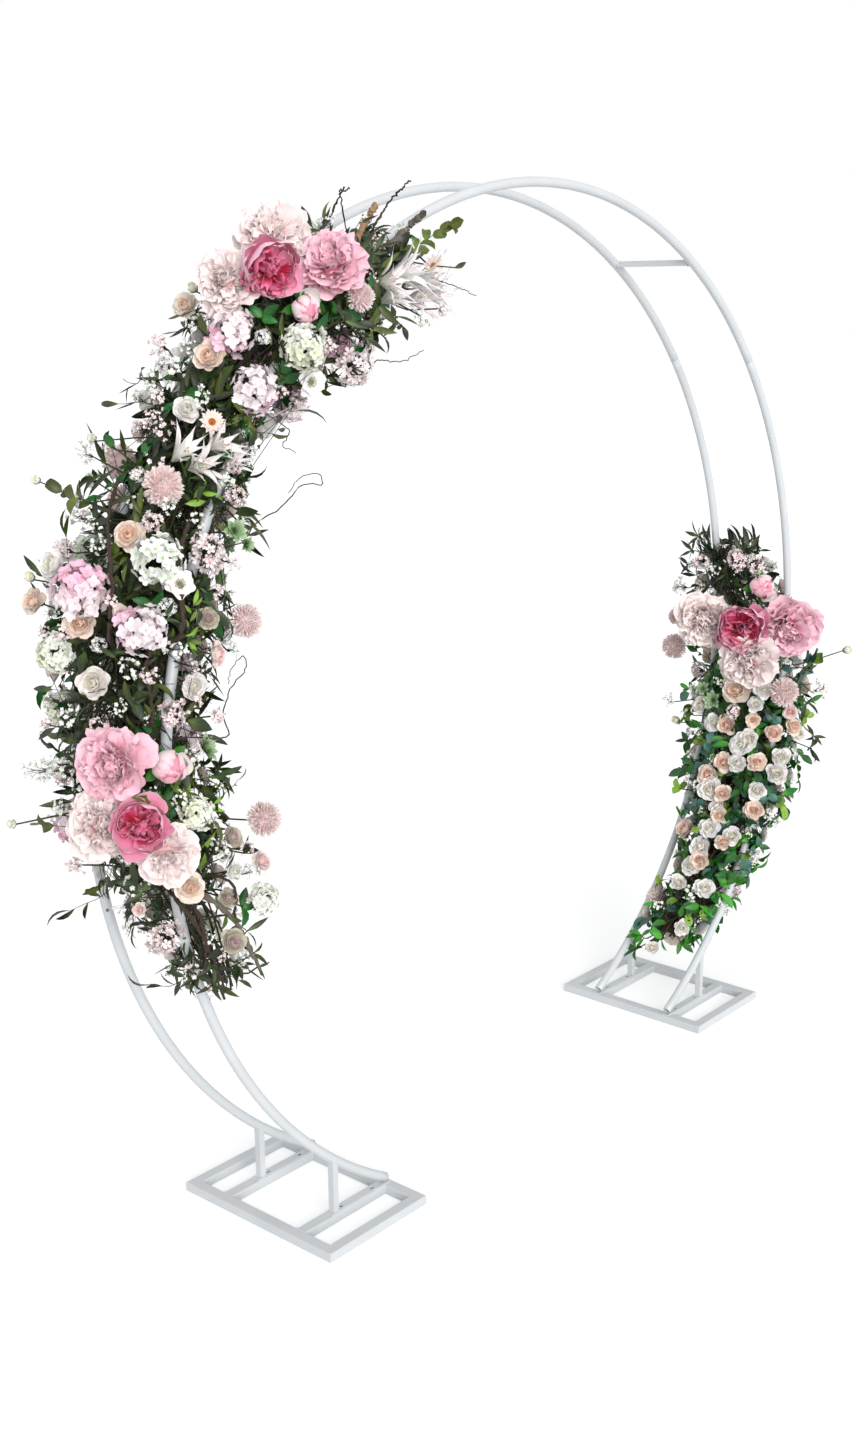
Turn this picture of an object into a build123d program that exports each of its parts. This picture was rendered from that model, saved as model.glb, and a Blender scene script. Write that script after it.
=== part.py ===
# Wedding arch: two round tube hoops on a pair of welded base frames, dressed with two flower garlands
# X runs across the arch, Y through it with the front at -Y, Z up; the origin is on the floor, midway
import os
from math import atan2, cos, degrees, radians, sin, sqrt

from build123d import *

os.makedirs("parts", exist_ok=True)

# Hoops
hoop_radius = 1190
hoop_spacing = 236
hoop_end_angle = 60
joint_angle = 40
tube_diameter = 22
tube_wall = 1.2
tube_sides = 12
open_bore_length = 120
seat_cut = 1.5

# Base frames
base_overhang = 13
base_width = 314
base_depth = 466
rail_width = 28
rail_height = 22
rail_wall = 1.5
rail_corner = 2

# Foot plates, their slots, the posts and the struts
plate_overhang = 7
plate_length = 196
plate_width = 22
plate_thickness = 2.5
slot_length = 12
slot_width = 7
slot_inset = 45
slot_spacing = 103
post_inset = 171
post_side = 16
post_wall = 1.2
strut_angle = 59
strut_side = 15
strut_wall = 1.2

# Garlands: the bunches' cut corners as a share of their smaller half size, and the peonies' sides,
# how deep they sink in, their height, and the slant below and above, as shares of their radius
tube_clearance = 0.3
corner_share = 0.55
bloom_sides = 12
bloom_sink = 0.35
bloom_height = 0.90
bloom_undercut = 0.3
bloom_crown = 0.25

tube_radius = tube_diameter / 2
bore_radius = tube_radius - tube_wall
plate_top = rail_height + plate_thickness
end_drop = hoop_radius * sin(radians(hoop_end_angle))
end_sag = tube_radius * cos(radians(90 - hoop_end_angle))
hoop_height = plate_top + end_sag + end_drop - seat_cut
hoop_end_x = hoop_radius * cos(radians(hoop_end_angle))
base_inner_x = hoop_end_x - base_overhang
base_middle_x = base_inner_x + base_width / 2
plate_middle_x = hoop_end_x - plate_overhang + plate_length / 2
inner_slot_x = hoop_end_x + slot_inset
outer_slot_x = inner_slot_x + slot_spacing
post_x = hoop_end_x + post_inset
post_top = hoop_height - sqrt(hoop_radius**2 - post_x**2)
bore_arc = open_bore_length / radians(hoop_radius)
hoop_ys = {"front": -hoop_spacing / 2, "rear": hoop_spacing / 2}
sides = {"left": -1, "right": 1}


def radial_plane(angle):
    """The plane through the hoops' axis at an angle above the +X side: its x runs outward, its y to the back."""
    outward = (cos(radians(angle)), 0, sin(radians(angle)))
    onward = (-sin(radians(angle)), 0, cos(radians(angle)))
    return Plane(origin=(0, 0, hoop_height), x_dir=outward, z_dir=onward)


def hoop_axis(y):
    """The axis that a hoop bends round: a turn about it runs from the right side up over the crown."""
    return Axis((0, y, hoop_height), (0, -1, 0))


def export(piece, label):
    """Labels a finished piece and writes its STEP file."""
    piece.part.label = label
    export_step(piece.part, f"parts/{label}.step")


# Solid hoops, kept as the cutters that cope the posts and struts
hoop_cutters = {}
for place, y in hoop_ys.items():
    with BuildPart() as cutter:
        with BuildSketch(radial_plane(-hoop_end_angle)):
            with Locations((hoop_radius, y)):
                RegularPolygon(tube_radius, tube_sides)
        revolve(axis=hoop_axis(y), revolution_arc=180 + 2 * hoop_end_angle)
    hoop_cutters[place] = cutter

# Hoops, each in two legs and a crown that butt at the joints
for place, y in hoop_ys.items():
    for part_name, start, stop in (
        ("right_leg", -hoop_end_angle, joint_angle),
        ("crown", joint_angle, 180 - joint_angle),
        ("left_leg", 180 - joint_angle, 180 + hoop_end_angle),
    ):
        with BuildPart() as section:
            with BuildSketch(radial_plane(start)):
                with Locations((hoop_radius, y)):
                    RegularPolygon(tube_radius, tube_sides)
            revolve(axis=hoop_axis(y), revolution_arc=stop - start)
            if part_name != "crown":
                bore_start = start if part_name == "right_leg" else stop - bore_arc
                with BuildSketch(radial_plane(bore_start)):
                    with Locations((hoop_radius, y)):
                        RegularPolygon(bore_radius, tube_sides)
                revolve(axis=hoop_axis(y), revolution_arc=bore_arc, mode=Mode.SUBTRACT)
                split(bisect_by=Plane.XY.offset(plate_top), keep=Keep.TOP)
        export(section, f"{place}_hoop_{part_name}")

# Struts between the hoops, coped round the tubes at both ends
for name, side in sides.items():
    strut_x = side * hoop_radius * cos(radians(strut_angle))
    strut_z = hoop_height + hoop_radius * sin(radians(strut_angle))
    with BuildPart() as strut:
        with BuildSketch(Plane(origin=(strut_x, 0, strut_z), x_dir=(1, 0, 0), z_dir=(0, -1, 0))):
            Rectangle(strut_side, strut_side)
            Rectangle(strut_side - 2 * strut_wall, strut_side - 2 * strut_wall, mode=Mode.SUBTRACT)
        extrude(amount=hoop_spacing / 2, both=True)
        add(hoop_cutters["front"].part, mode=Mode.SUBTRACT)
        add(hoop_cutters["rear"].part, mode=Mode.SUBTRACT)
    export(strut, f"{name}_strut")


def rail_profile():
    """The rectangular tube that every rail and crossbar is cut from, standing on its height."""
    RectangleRounded(rail_width, rail_height, rail_corner)
    Rectangle(rail_width - 2 * rail_wall, rail_height - 2 * rail_wall, mode=Mode.SUBTRACT)


def cross_plane(x, y):
    """The plane across a rail that runs in X, at the rail's middle height."""
    return Plane(origin=(x, y, rail_height / 2), x_dir=(0, 1, 0), z_dir=(1, 0, 0))


# Base frames: four mitred rails, two crossbars under the hoops, and what stands on them
for name, side in sides.items():
    for rail_name, rail_x, inward in (
        ("outer_rail", side * (base_inner_x + base_width - rail_width / 2), -side),
        ("inner_rail", side * (base_inner_x + rail_width / 2), side),
    ):
        face_x = rail_x - inward * rail_width / 2
        with BuildPart() as rail:
            with BuildSketch(Plane(origin=(rail_x, 0, rail_height / 2), x_dir=(1, 0, 0), z_dir=(0, -1, 0))):
                rail_profile()
            extrude(amount=base_depth / 2, both=True)
            for end in (-1, 1):
                mitre = Plane(origin=(face_x, end * base_depth / 2, 0), z_dir=(inward, end, 0))
                split(bisect_by=mitre, keep=Keep.BOTTOM)
        export(rail, f"{name}_{rail_name}")
    for rail_name, end in (("front_rail", -1), ("back_rail", 1)):
        rail_y = end * (base_depth - rail_width) / 2
        with BuildPart() as rail:
            with BuildSketch(cross_plane(side * base_middle_x, rail_y)):
                rail_profile()
            extrude(amount=base_width / 2, both=True)
            for turn in (-1, 1):
                corner_x = side * base_middle_x + turn * base_width / 2
                mitre = Plane(origin=(corner_x, end * base_depth / 2, 0), z_dir=(turn, -end, 0))
                split(bisect_by=mitre, keep=Keep.BOTTOM)
        export(rail, f"{name}_{rail_name}")
    for place, y in hoop_ys.items():
        with BuildPart() as crossbar:
            with BuildSketch(cross_plane(side * base_middle_x, y)):
                rail_profile()
            extrude(amount=base_width / 2 - rail_width, both=True)
            with BuildSketch():
                with Locations((side * inner_slot_x, y), (side * outer_slot_x, y)):
                    SlotOverall(slot_length, slot_width)
            extrude(amount=rail_height, mode=Mode.SUBTRACT)
        export(crossbar, f"{name}_{place}_crossbar")
        with BuildPart() as plate:
            with BuildSketch(Plane.XY.offset(rail_height)):
                with Locations((side * plate_middle_x, y)):
                    Rectangle(plate_length, plate_width)
                with Locations((side * inner_slot_x, y), (side * outer_slot_x, y)):
                    SlotOverall(slot_length, slot_width, mode=Mode.SUBTRACT)
            extrude(amount=plate_thickness)
        export(plate, f"{name}_{place}_foot_plate")
        with BuildPart() as post:
            with BuildSketch(Plane.XY.offset(plate_top)):
                with Locations((side * post_x, y)):
                    Rectangle(post_side, post_side)
                    Rectangle(post_side - 2 * post_wall, post_side - 2 * post_wall, mode=Mode.SUBTRACT)
            extrude(amount=post_top - plate_top)
            add(hoop_cutters[place].part, mode=Mode.SUBTRACT)
        export(post, f"{name}_{place}_post")

# Garland sections: the angle, how far the middle lies out from the hoops and to the back of them,
# and the half size outward and front to back; a bunch of flowers fills the space between its sections
post_clear_angle = 0.5
lowest_angle = post_clear_angle - degrees(atan2(hoop_height - post_top, post_x + post_side / 2))
garlands = {
    "left": (
        ("top", (113, -50, -60, 80, 95), (117, -20, -30, 105, 130), (124, -10, -35, 138, 175)),
        ("crest", (124, -10, -35, 138, 175), (131, -5, -30, 146, 182), (137, 0, -8, 116, 148)),
        ("shoulder", (137, 0, -8, 116, 148), (145, 10, 0, 106, 142), (152, 5, 0, 141, 177)),
        ("side", (152, 5, 0, 141, 177), (162, 10, 5, 162, 203), (171, 8, 5, 132, 167)),
        ("lower", (171, 8, 5, 132, 167), (180, 0, -25, 146, 183), (187, -20, -65, 112, 156)),
        ("tip", (187, -20, -65, 112, 156), (194, -30, -100, 83, 113), (201, -35, -130, 48, 70)),
    ),
    "right": (
        ("top", (1, 6, 20, 163, 192), (7, -10, 60, 108, 140), (13, 0, 75, 56, 84)),
        ("side", (-18, 15, -20, 148, 190), (-8, 0, -10, 148, 188), (1, 6, 20, 163, 192)),
        ("lower", (-35, 5, -38, 102, 112), (-27, 5, -30, 124, 148), (-18, 15, -20, 148, 190)),
        ("tip", (lowest_angle, 0, 35, 56, 80), (-43, 0, -8, 82, 106), (-35, 5, -38, 102, 112)),
    ),
}


def polar_point(angle, radius):
    """A point of the X-Z plane from its angle and radius about the hoops' axis."""
    return (radius * cos(radians(angle)), hoop_height + radius * sin(radians(angle)))


bunch_parts = {}
for garland, bunches in garlands.items():
    for bunch_name, *sections in bunches:
        wedges = []
        for first, last in zip(sections, sections[1:]):
            start, stop = first[0], last[0]
            middle = radial_plane((start + stop) / 2)
            half_turn = radians((stop - start) / 2)
            sag = hoop_radius * (1 - cos(half_turn))
            # Each section as its inner and outer radius and its front and back
            inner, outer = [[hoop_radius + s[1] + way * s[3] for s in (first, last)] for way in (-1, 1)]
            front, back = [[s[2] + way * s[4] for s in (first, last)] for way in (-1, 1)]
            with BuildPart() as wedge:
                with BuildSketch(Plane.XZ):
                    Polygon(
                        polar_point(start, inner[0]),
                        polar_point(start, outer[0]),
                        polar_point(stop, outer[1]),
                        polar_point(stop, inner[1]),
                        align=None,
                    )
                extrude(amount=base_depth, both=True)
                end_run = hoop_radius * sin(half_turn)
                taper_front = (front[1] - front[0]) / (2 * end_run)
                taper_back = (back[1] - back[0]) / (2 * end_run)
                with BuildSketch(Plane(origin=middle.origin, x_dir=middle.z_dir, z_dir=-middle.x_dir)):
                    Polygon(
                        (-2 * end_run, front[0] - taper_front * end_run),
                        (2 * end_run, front[1] + taper_front * end_run),
                        (2 * end_run, back[1] + taper_back * end_run),
                        (-2 * end_run, back[0] - taper_back * end_run),
                        align=None,
                    )
                extrude(amount=-2 * max(outer), mode=Mode.INTERSECT)
                long_edges = wedge.edges().filter_by(lambda e: abs(e.tangent_at(0.5).dot(middle.z_dir)) > 0.7)
                chamfer(long_edges, corner_share * min(first[3], last[3]))
                for y in hoop_ys.values():
                    channel_side = tube_diameter + 2 * tube_clearance
                    with BuildSketch(middle):
                        with Locations((hoop_radius - sag / 2, y)):
                            Rectangle(channel_side + sag, channel_side)
                    extrude(amount=2 * end_run, both=True, mode=Mode.SUBTRACT)
                if start < 180 - strut_angle < stop:
                    strut_x, strut_z = polar_point(180 - strut_angle, hoop_radius)
                    with BuildSketch(Plane(origin=(strut_x, 0, strut_z), x_dir=(1, 0, 0), z_dir=(0, -1, 0))):
                        Rectangle(strut_side + 2 * tube_clearance, strut_side + 2 * tube_clearance)
                    extrude(amount=hoop_spacing / 2, both=True, mode=Mode.SUBTRACT)
            wedges.append(wedge)
        with BuildPart() as bunch:
            for wedge in wedges:
                add(wedge.part)
        bunch_parts[garland, bunch_name] = bunch
        export(bunch, f"{garland}_garland_{bunch_name}")

# Peonies, the big blooms: the angle, how far out from the hoops and to the back they sit, and the radius
peony_groups = {
    "upper_peonies": ("left", (
        (128.5, 156, -96, 68),
        (131.8, 142, -131, 62),
        (134, 156, -75, 63),
        (128.2, 86, -176, 72),
        (132, 72, -186, 42),
    )),
    "lower_peonies": ("left", (
        (174.5, 122, -132, 75),
        (174.6, 58, -188, 40),
        (179.3, 140, -118, 62),
        (179.1, 112, -174, 60),
        (182.2, 74, -194, 60),
    )),
    "right_peonies": ("right", (
        (0.8, -176, 50, 80),
        (0.4, -161, -52, 78),
        (0.2, -80, -160, 86),
        (-5, -150, -88, 86),
        (5.2, -92, -115, 50),
    )),
}
for group_name, (garland, blooms) in peony_groups.items():
    heads = []
    for angle, out, back, bloom_radius in blooms:
        across = radial_plane(angle)
        spot = across.from_local_coords(Vector(hoop_radius + out, back, 0))
        facing = (across.x_dir * out + Vector(0, 1, 0) * back).normalized()
        seat = Plane(origin=spot, x_dir=across.z_dir, z_dir=facing).offset(-bloom_sink * bloom_radius)
        with BuildPart() as head:
            with BuildSketch(seat):
                RegularPolygon(bloom_radius, bloom_sides)
            extrude(amount=bloom_height * bloom_radius)
            chamfer(head.faces().sort_by(Axis(spot, facing))[0].edges(), bloom_undercut * bloom_radius)
            chamfer(head.faces().sort_by(Axis(spot, facing))[-1].edges(), bloom_crown * bloom_radius)
        heads.append(head)
    with BuildPart() as group:
        for head in heads:
            add(head.part)
        for (side_name, bunch_name), bunch in bunch_parts.items():
            if side_name == garland:
                add(bunch.part, mode=Mode.SUBTRACT)
    export(group, group_name)
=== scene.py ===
import bpy
import numpy as np
from mathutils import Matrix, Vector


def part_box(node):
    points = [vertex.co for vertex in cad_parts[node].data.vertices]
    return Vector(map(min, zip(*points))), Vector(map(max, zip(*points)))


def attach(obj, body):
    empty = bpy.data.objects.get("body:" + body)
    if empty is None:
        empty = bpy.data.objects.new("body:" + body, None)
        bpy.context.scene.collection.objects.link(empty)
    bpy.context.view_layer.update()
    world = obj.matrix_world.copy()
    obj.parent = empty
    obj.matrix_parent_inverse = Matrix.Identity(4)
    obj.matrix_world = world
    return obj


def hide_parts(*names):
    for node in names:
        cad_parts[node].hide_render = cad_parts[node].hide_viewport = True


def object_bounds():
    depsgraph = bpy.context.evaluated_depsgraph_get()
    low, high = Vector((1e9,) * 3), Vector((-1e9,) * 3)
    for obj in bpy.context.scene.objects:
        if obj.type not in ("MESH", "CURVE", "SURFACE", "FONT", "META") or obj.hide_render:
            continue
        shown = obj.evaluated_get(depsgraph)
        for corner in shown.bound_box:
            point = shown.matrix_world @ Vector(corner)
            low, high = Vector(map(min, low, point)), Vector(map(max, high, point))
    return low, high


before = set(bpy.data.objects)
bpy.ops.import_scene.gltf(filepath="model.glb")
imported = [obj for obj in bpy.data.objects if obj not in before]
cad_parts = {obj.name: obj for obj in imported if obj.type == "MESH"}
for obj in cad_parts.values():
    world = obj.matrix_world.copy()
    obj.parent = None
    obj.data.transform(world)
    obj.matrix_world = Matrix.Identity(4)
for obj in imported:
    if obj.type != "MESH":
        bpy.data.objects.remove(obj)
cad_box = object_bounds()

# The camera, fitted to the photograph
photo_width = 854
photo_height = 1440
focal_pixels = 1654.78
sensor_long_side = 36.0
camera_place = np.array((-3.13, -2.459, 2.014))
camera_yaw = np.radians(49.046)
camera_pitch = np.radians(-14.463)
camera_roll = np.radians(-0.511)

# How far in front of the camera the garlands are looked for, and in what steps
sight_steps = (2.2, 6.4, 0.004)

# The light: strengths, and the way towards the key light with its breadth in degrees
sky_light = 0.64
key_light = 0.76
key_from = (-0.45, -0.78, 0.24)
key_softness = 40
floor_glow = 0.44

# The hoops, in metres and degrees
hoop_radius = 1.19
tube_radius = 0.011
tube_wall = 0.0012
joint_angle = 40
hoop_end_angle = 60
tube_sides = 28
end_ease = 0.0007
end_ease_angle = 0.04
weld_radius = 0.0016
screw_angle = 12.5
screw_radius = 0.0036
crown_low, crown_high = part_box("front_hoop_crown")
hoop_height = crown_high.z - hoop_radius - tube_radius
hoop_depth = abs(crown_low.y + crown_high.y) / 2

# How far the dressed part may reach, a little inside what the check allows
reach_low = np.array(cad_box[0]) - np.array((0.082, 0.014, -0.004))
reach_high = np.array(cad_box[1]) + np.array((0.082, 0.014, 0.07))

# Garland sections: degrees on the hoop, then millimetres outward, to the back, half width and half depth
left_sections = (
    (113, -75, -60, 75, 100), (117, -45, -30, 100, 140), (124, -15, -35, 142, 180),
    (131, -16, -34, 160, 190), (137, -4, -18, 132, 160), (145, 18, 0, 118, 145), (152, 5, 0, 150, 188),
    (162, 10, 5, 172, 216), (171, 8, 5, 140, 176), (180, 0, -25, 155, 195), (187, -20, -65, 118, 165),
    (194, -30, -100, 88, 120), (201, -35, -130, 50, 75),
)
right_sections = (
    (11, 0, 73, 60, 90), (6, -10, 58, 118, 150), (1, 0, 20, 152, 198), (-8, 0, -10, 155, 200),
    (-18, 15, -20, 156, 202), (-27, 5, -32, 132, 158), (-35, 5, -40, 108, 120), (-43, 0, -10, 88, 112),
    (-49, 0, 40, 60, 85),
)

# Peony heads: kind, degrees on the hoop, millimetres out, back and of radius, turn to the right and up
upper_peonies = (
    ("pale", 128.5, 160, -98, 71, 0.1, 0.35),
    ("hot", 131.8, 146, -138, 58, 0.2, -0.05),
    ("pale", 134.0, 165, -71, 62, -0.15, 0.2),
    ("pink", 127.8, 82, -186, 68, -0.3, 0.55),
    ("bud", 132.5, 64, -186, 40, 0.3, -0.45),
)
lower_peonies = (
    ("pink", 174.5, 141, -136, 67, -0.4, -0.1),
    ("bud", 174.7, 52, -194, 47, 0.4, -0.25),
    ("pale", 179.3, 160, -124, 63, 0.25, 0.15),
    ("hot", 179.1, 124, -193, 58, 0.1, 0.0),
    ("pale", 182.3, 69, -198, 58, 0.1, -0.35),
)
right_peonies = (
    ("pale", 0.8, -184, 54, 78, 0.3, -0.1),
    ("hot", 0.4, -172, -68, 74, 0.0, 0.05),
    ("pink", 0.2, -80, -170, 88, -0.1, -0.55),
    ("pale", -5.4, -146, -84, 84, -0.1, -0.6),
    ("bud", 6.0, -82, -88, 52, 0.3, 0.1),
)

# Blooms as the photograph shows them: across, down and radius in its pixels
left_pink_hydrangeas = ((230, 331, 27), (254, 390, 25), (80, 590, 31), (141, 629, 28))
left_white_hydrangeas = (
    (304, 347, 25), (158, 562, 28), (56, 653, 21), (263, 899, 17), (197, 814, 18),
)
left_peach_roses = (
    (208, 355, 16), (184, 305, 14), (128, 535, 17), (79, 623, 17), (32, 601, 14), (190, 888, 16),
)
left_white_roses = ((187, 409, 14), (51, 564, 17), (92, 683, 17), (195, 686, 14), (235, 871, 10))
left_blush_roses = ((219, 655, 14), (263, 861, 13), (121, 614, 11), (139, 910, 8))
left_mauve_roses = ((209, 618, 12), (234, 836, 12), (230, 897, 11), (234, 942, 13))
left_mums = ((360, 297, 15), (163, 486, 21), (245, 621, 18), (264, 819, 18))
left_anemones = ((311, 382, 17), (180, 584, 16))
left_daisies = ((433, 266, 12), (212, 422, 13))
left_stocks = (
    (353, 368, 24), (207, 553, 23), (165, 938, 22), (236, 495, 13), (233, 467, 10), (172, 714, 17),
    (152, 522, 13),
)
left_sprays = (
    (87, 454, 14), (76, 866, 12), (422, 318, 11), (441, 311, 8), (40, 770, 16), (193, 700, 14),
    (226, 480, 10), (66, 632, 14), (250, 872, 11), (248, 848, 9), (120, 708, 9), (96, 723, 9),
    (237, 452, 8), (160, 345, 14), (174, 372, 15), (158, 398, 12), (200, 398, 12), (282, 392, 9),
    (98, 545, 10), (112, 602, 11), (168, 505, 10), (218, 590, 10), (176, 650, 12), (148, 676, 12),
    (52, 612, 9), (216, 716, 11), (232, 650, 9), (330, 345, 10), (180, 800, 10),
)
left_lilies = (
    (388, 280, 25), (404, 272, 28), (424, 280, 28), (414, 298, 26), (434, 294, 22), (392, 298, 22),
    (182, 452, 26), (200, 466, 26), (218, 446, 26), (232, 462, 20),
)
left_succulents = ((236, 530, 19), (208, 747, 21), (248, 545, 13))
left_buds = ((36, 480, 8), (12, 824, 8), (30, 577, 9), (193, 288, 9), (92, 438, 8))
right_peach_roses = (
    (736, 690, 13), (726, 725, 9), (753, 720, 7), (774, 733, 8), (723, 762, 9), (757, 762, 9),
    (707, 774, 9), (722, 793, 8), (754, 810, 9), (684, 828, 9), (723, 841, 8), (699, 860, 9), (794, 726, 8),
    (719, 815, 8),
)
right_white_roses = (
    (713, 723, 8), (756, 704, 7), (799, 734, 7), (740, 744, 10), (749, 738, 8), (737, 763, 8),
    (781, 757, 8), (777, 774, 9), (709, 789, 10), (757, 791, 8), (732, 835, 8), (709, 828, 9),
    (700, 846, 9), (690, 866, 8), (704, 888, 9), (678, 882, 7), (682, 928, 7), (652, 947, 6), (764, 690, 8),
    (700, 705, 8), (716, 805, 7),
)
right_mums = ((784, 692, 15), (675, 646, 13))
right_blush_roses = ((676, 615, 9), (790, 712, 8))
right_stocks = ((702, 562, 10), (738, 560, 13), (756, 566, 12), (733, 712, 9))
right_sprays = (
    (680, 587, 11), (820, 690, 11), (786, 600, 8), (668, 700, 8), (690, 893, 10), (697, 785, 8),
    (770, 815, 7),
)
right_succulents = ((712, 700, 14), (702, 688, 10))
right_buds = ((847, 650, 7), (676, 720, 7))

# Twigs clear of the leaves: the photograph's pixels from root to end, radius at both in millimetres, and wood
thick_twigs = (
    (((316, 244), (330, 216), (344, 187)), 3.0, 1.8, "dark"),
    (((340, 196), (345, 191), (350, 188)), 1.6, 1.2, "dark"),
    (((352, 246), (359, 234), (368, 219), (375, 205)), 4.0, 7.2, "pale"),
    (((356, 238), (361, 226), (363, 214)), 2.2, 1.4, "pale"),
    (((374, 226), (384, 210), (396, 194), (410, 180)), 3.0, 1.6, "dark"),
    (((388, 246), (406, 229), (424, 213)), 8.0, 6.8, "grey"),
    (((208, 898), (238, 926), (262, 974)), 6.6, 4.0, "grey"),
    (((180, 904), (198, 928), (214, 962), (226, 990)), 5.2, 2.2, "dark"),
    (((194, 908), (206, 940), (204, 976)), 4.0, 2.0, "dark"),
    (((228, 880), (236, 920), (246, 948)), 3.6, 2.0, "dark"),
    (((110, 640), (112, 580), (108, 520), (118, 480)), 5.0, 3.6, "dark"),
    (((176, 640), (182, 600), (178, 560), (190, 520)), 6.0, 4.0, "dark"),
    (((150, 724), (152, 700), (146, 672), (150, 650)), 4.5, 3.5, "dark"),
)
curly_twigs = (
    ((232, 545), (256, 523), (284, 505), (300, 486), (322, 484), (318, 474), (300, 478), (288, 494)),
    ((222, 738), (223, 714), (230, 690), (246, 668), (243, 656), (232, 668), (228, 684)),
    ((252, 405), (272, 418), (290, 432), (282, 445), (296, 452)),
    ((352, 374), (378, 360), (400, 362), (424, 350)),
    ((426, 276), (450, 284), (476, 296)),
)

# Sprigs placed by pixels: the way they grow, the kind of leaf and its length in millimetres
pixel_sprigs = (
    (((398, 262), (420, 244), (450, 227)), 5, 36),
    (((84, 500), (72, 500), (62, 492)), 5, 36),
    (((80, 826), (64, 826), (44, 824)), 5, 34),
    (((100, 700), (76, 712), (56, 728)), 0, 60),
    (((104, 690), (78, 692), (52, 690)), 0, 62),
    (((150, 380), (136, 384), (122, 380)), 0, 60),
    (((160, 396), (140, 402), (118, 404)), 0, 58),
    (((196, 960), (176, 985), (150, 984)), 0, 58),
    (((120, 880), (104, 894), (70, 912)), 0, 60),
    (((206, 780), (226, 790), (238, 780)), 4, 34),
    (((180, 640), (190, 620), (192, 604)), 4, 30),
)

# Bunches of leaves placed by pixels: across, down, the kind of leaf, its length in millimetres and how many
left_tufts = (
    (365, 266, 3, 46, 5), (373, 248, 0, 52, 4), (384, 243, 0, 56, 4), (401, 251, 3, 44, 4),
    (392, 258, 3, 42, 4), (380, 304, 1, 60, 5), (398, 318, 1, 50, 3), (356, 328, 3, 54, 5),
    (346, 320, 0, 46, 5), (374, 328, 1, 50, 4), (386, 338, 0, 44, 3), (405, 328, 3, 34, 3),
    (457, 268, 3, 28, 3), (264, 386, 0, 42, 6), (254, 400, 3, 36, 6), (246, 413, 1, 42, 6),
    (240, 427, 0, 40, 6), (234, 440, 3, 36, 6), (228, 454, 0, 40, 6), (222, 469, 1, 40, 6),
    (217, 483, 0, 40, 6), (212, 497, 3, 38, 5), (262, 316, 2, 42, 5), (286, 332, 3, 44, 4),
    (156, 378, 0, 46, 4), (150, 400, 0, 48, 4), (156, 418, 0, 48, 4), (122, 462, 3, 44, 5),
    (112, 446, 2, 40, 4), (92, 520, 0, 56, 5), (84, 544, 0, 50, 4), (150, 604, 2, 40, 5),
    (64, 640, 0, 52, 4), (66, 700, 0, 60, 5), (60, 718, 0, 56, 4), (74, 764, 3, 44, 4),
    (132, 700, 3, 50, 5), (166, 732, 2, 46, 4), (186, 770, 3, 44, 4), (142, 892, 3, 50, 6),
    (130, 880, 2, 44, 4), (196, 978, 0, 46, 5), (212, 986, 0, 44, 5), (236, 962, 3, 40, 4),
    (250, 930, 0, 48, 3), (190, 640, 4, 36, 5), (212, 810, 4, 34, 5), (246, 852, 3, 34, 4),
    (256, 952, 0, 40, 4), (260, 966, 0, 34, 3), (404, 286, 0, 50, 5), (424, 292, 0, 46, 5),
    (222, 950, 3, 42, 6), (238, 965, 3, 40, 6), (228, 915, 1, 44, 5), (214, 966, 0, 44, 5),
    (244, 905, 2, 40, 4), (206, 456, 0, 50, 5), (222, 460, 0, 46, 4), (396, 272, 0, 44, 4),
    (236, 848, 0, 40, 4),
)
right_tufts = (
    (704, 800, 2, 30, 9), (716, 796, 2, 28, 8), (768, 796, 2, 30, 8), (735, 862, 2, 30, 9),
    (744, 870, 2, 26, 7), (690, 876, 2, 30, 9), (694, 890, 2, 28, 8), (712, 742, 2, 30, 7),
    (756, 788, 2, 28, 7), (772, 720, 2, 26, 6), (656, 906, 3, 52, 6), (640, 934, 3, 50, 6),
    (634, 948, 3, 44, 6), (666, 922, 3, 50, 6), (682, 942, 3, 48, 6), (736, 886, 3, 44, 6),
    (734, 899, 3, 42, 6), (727, 874, 1, 46, 5), (812, 748, 0, 52, 5), (816, 736, 0, 44, 4),
    (760, 846, 1, 44, 5), (686, 850, 0, 48, 5), (682, 864, 0, 44, 4), (672, 884, 3, 44, 5),
    (705, 820, 4, 34, 6), (700, 914, 4, 36, 6), (748, 854, 4, 30, 4), (679, 788, 4, 36, 4),
    (700, 740, 4, 30, 5), (806, 716, 4, 30, 4), (808, 702, 0, 52, 4), (800, 690, 0, 50, 5),
    (766, 706, 0, 46, 4), (722, 700, 1, 36, 4), (740, 790, 1, 46, 5), (744, 820, 1, 46, 6),
    (690, 550, 0, 50, 6), (686, 564, 0, 46, 5), (696, 536, 0, 50, 5), (806, 668, 0, 42, 5),
    (733, 880, 3, 50, 7), (730, 888, 1, 48, 6), (728, 884, 3, 56, 8), (722, 893, 3, 52, 7),
    (733, 892, 1, 54, 7), (700, 905, 3, 50, 7), (712, 890, 1, 46, 6), (690, 920, 3, 50, 7),
    (706, 918, 3, 46, 6), (662, 938, 3, 48, 6), (812, 684, 0, 42, 5), (728, 812, 1, 44, 5),
    (692, 762, 1, 44, 5), (686, 740, 1, 42, 5), (700, 838, 1, 42, 5),
)

# Spots that leaves keep clear of: across, down and radius
clear_spots = (
    (338, 212, 25), (322, 226, 14), (358, 206, 17), (386, 200, 20), (398, 222, 12), (420, 262, 8),
    (262, 452, 14), (256, 480, 12), (252, 504, 12), (244, 560, 12), (240, 588, 14), (214, 716, 8),
    (226, 708, 10), (108, 360, 18), (98, 400, 18), (60, 742, 12), (40, 700, 12), (112, 905, 10),
    (224, 1018, 16), (272, 428, 14), (206, 706, 14), (122, 896, 10), (160, 912, 10), (244, 800, 12),
    (300, 228, 8),
)

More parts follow.
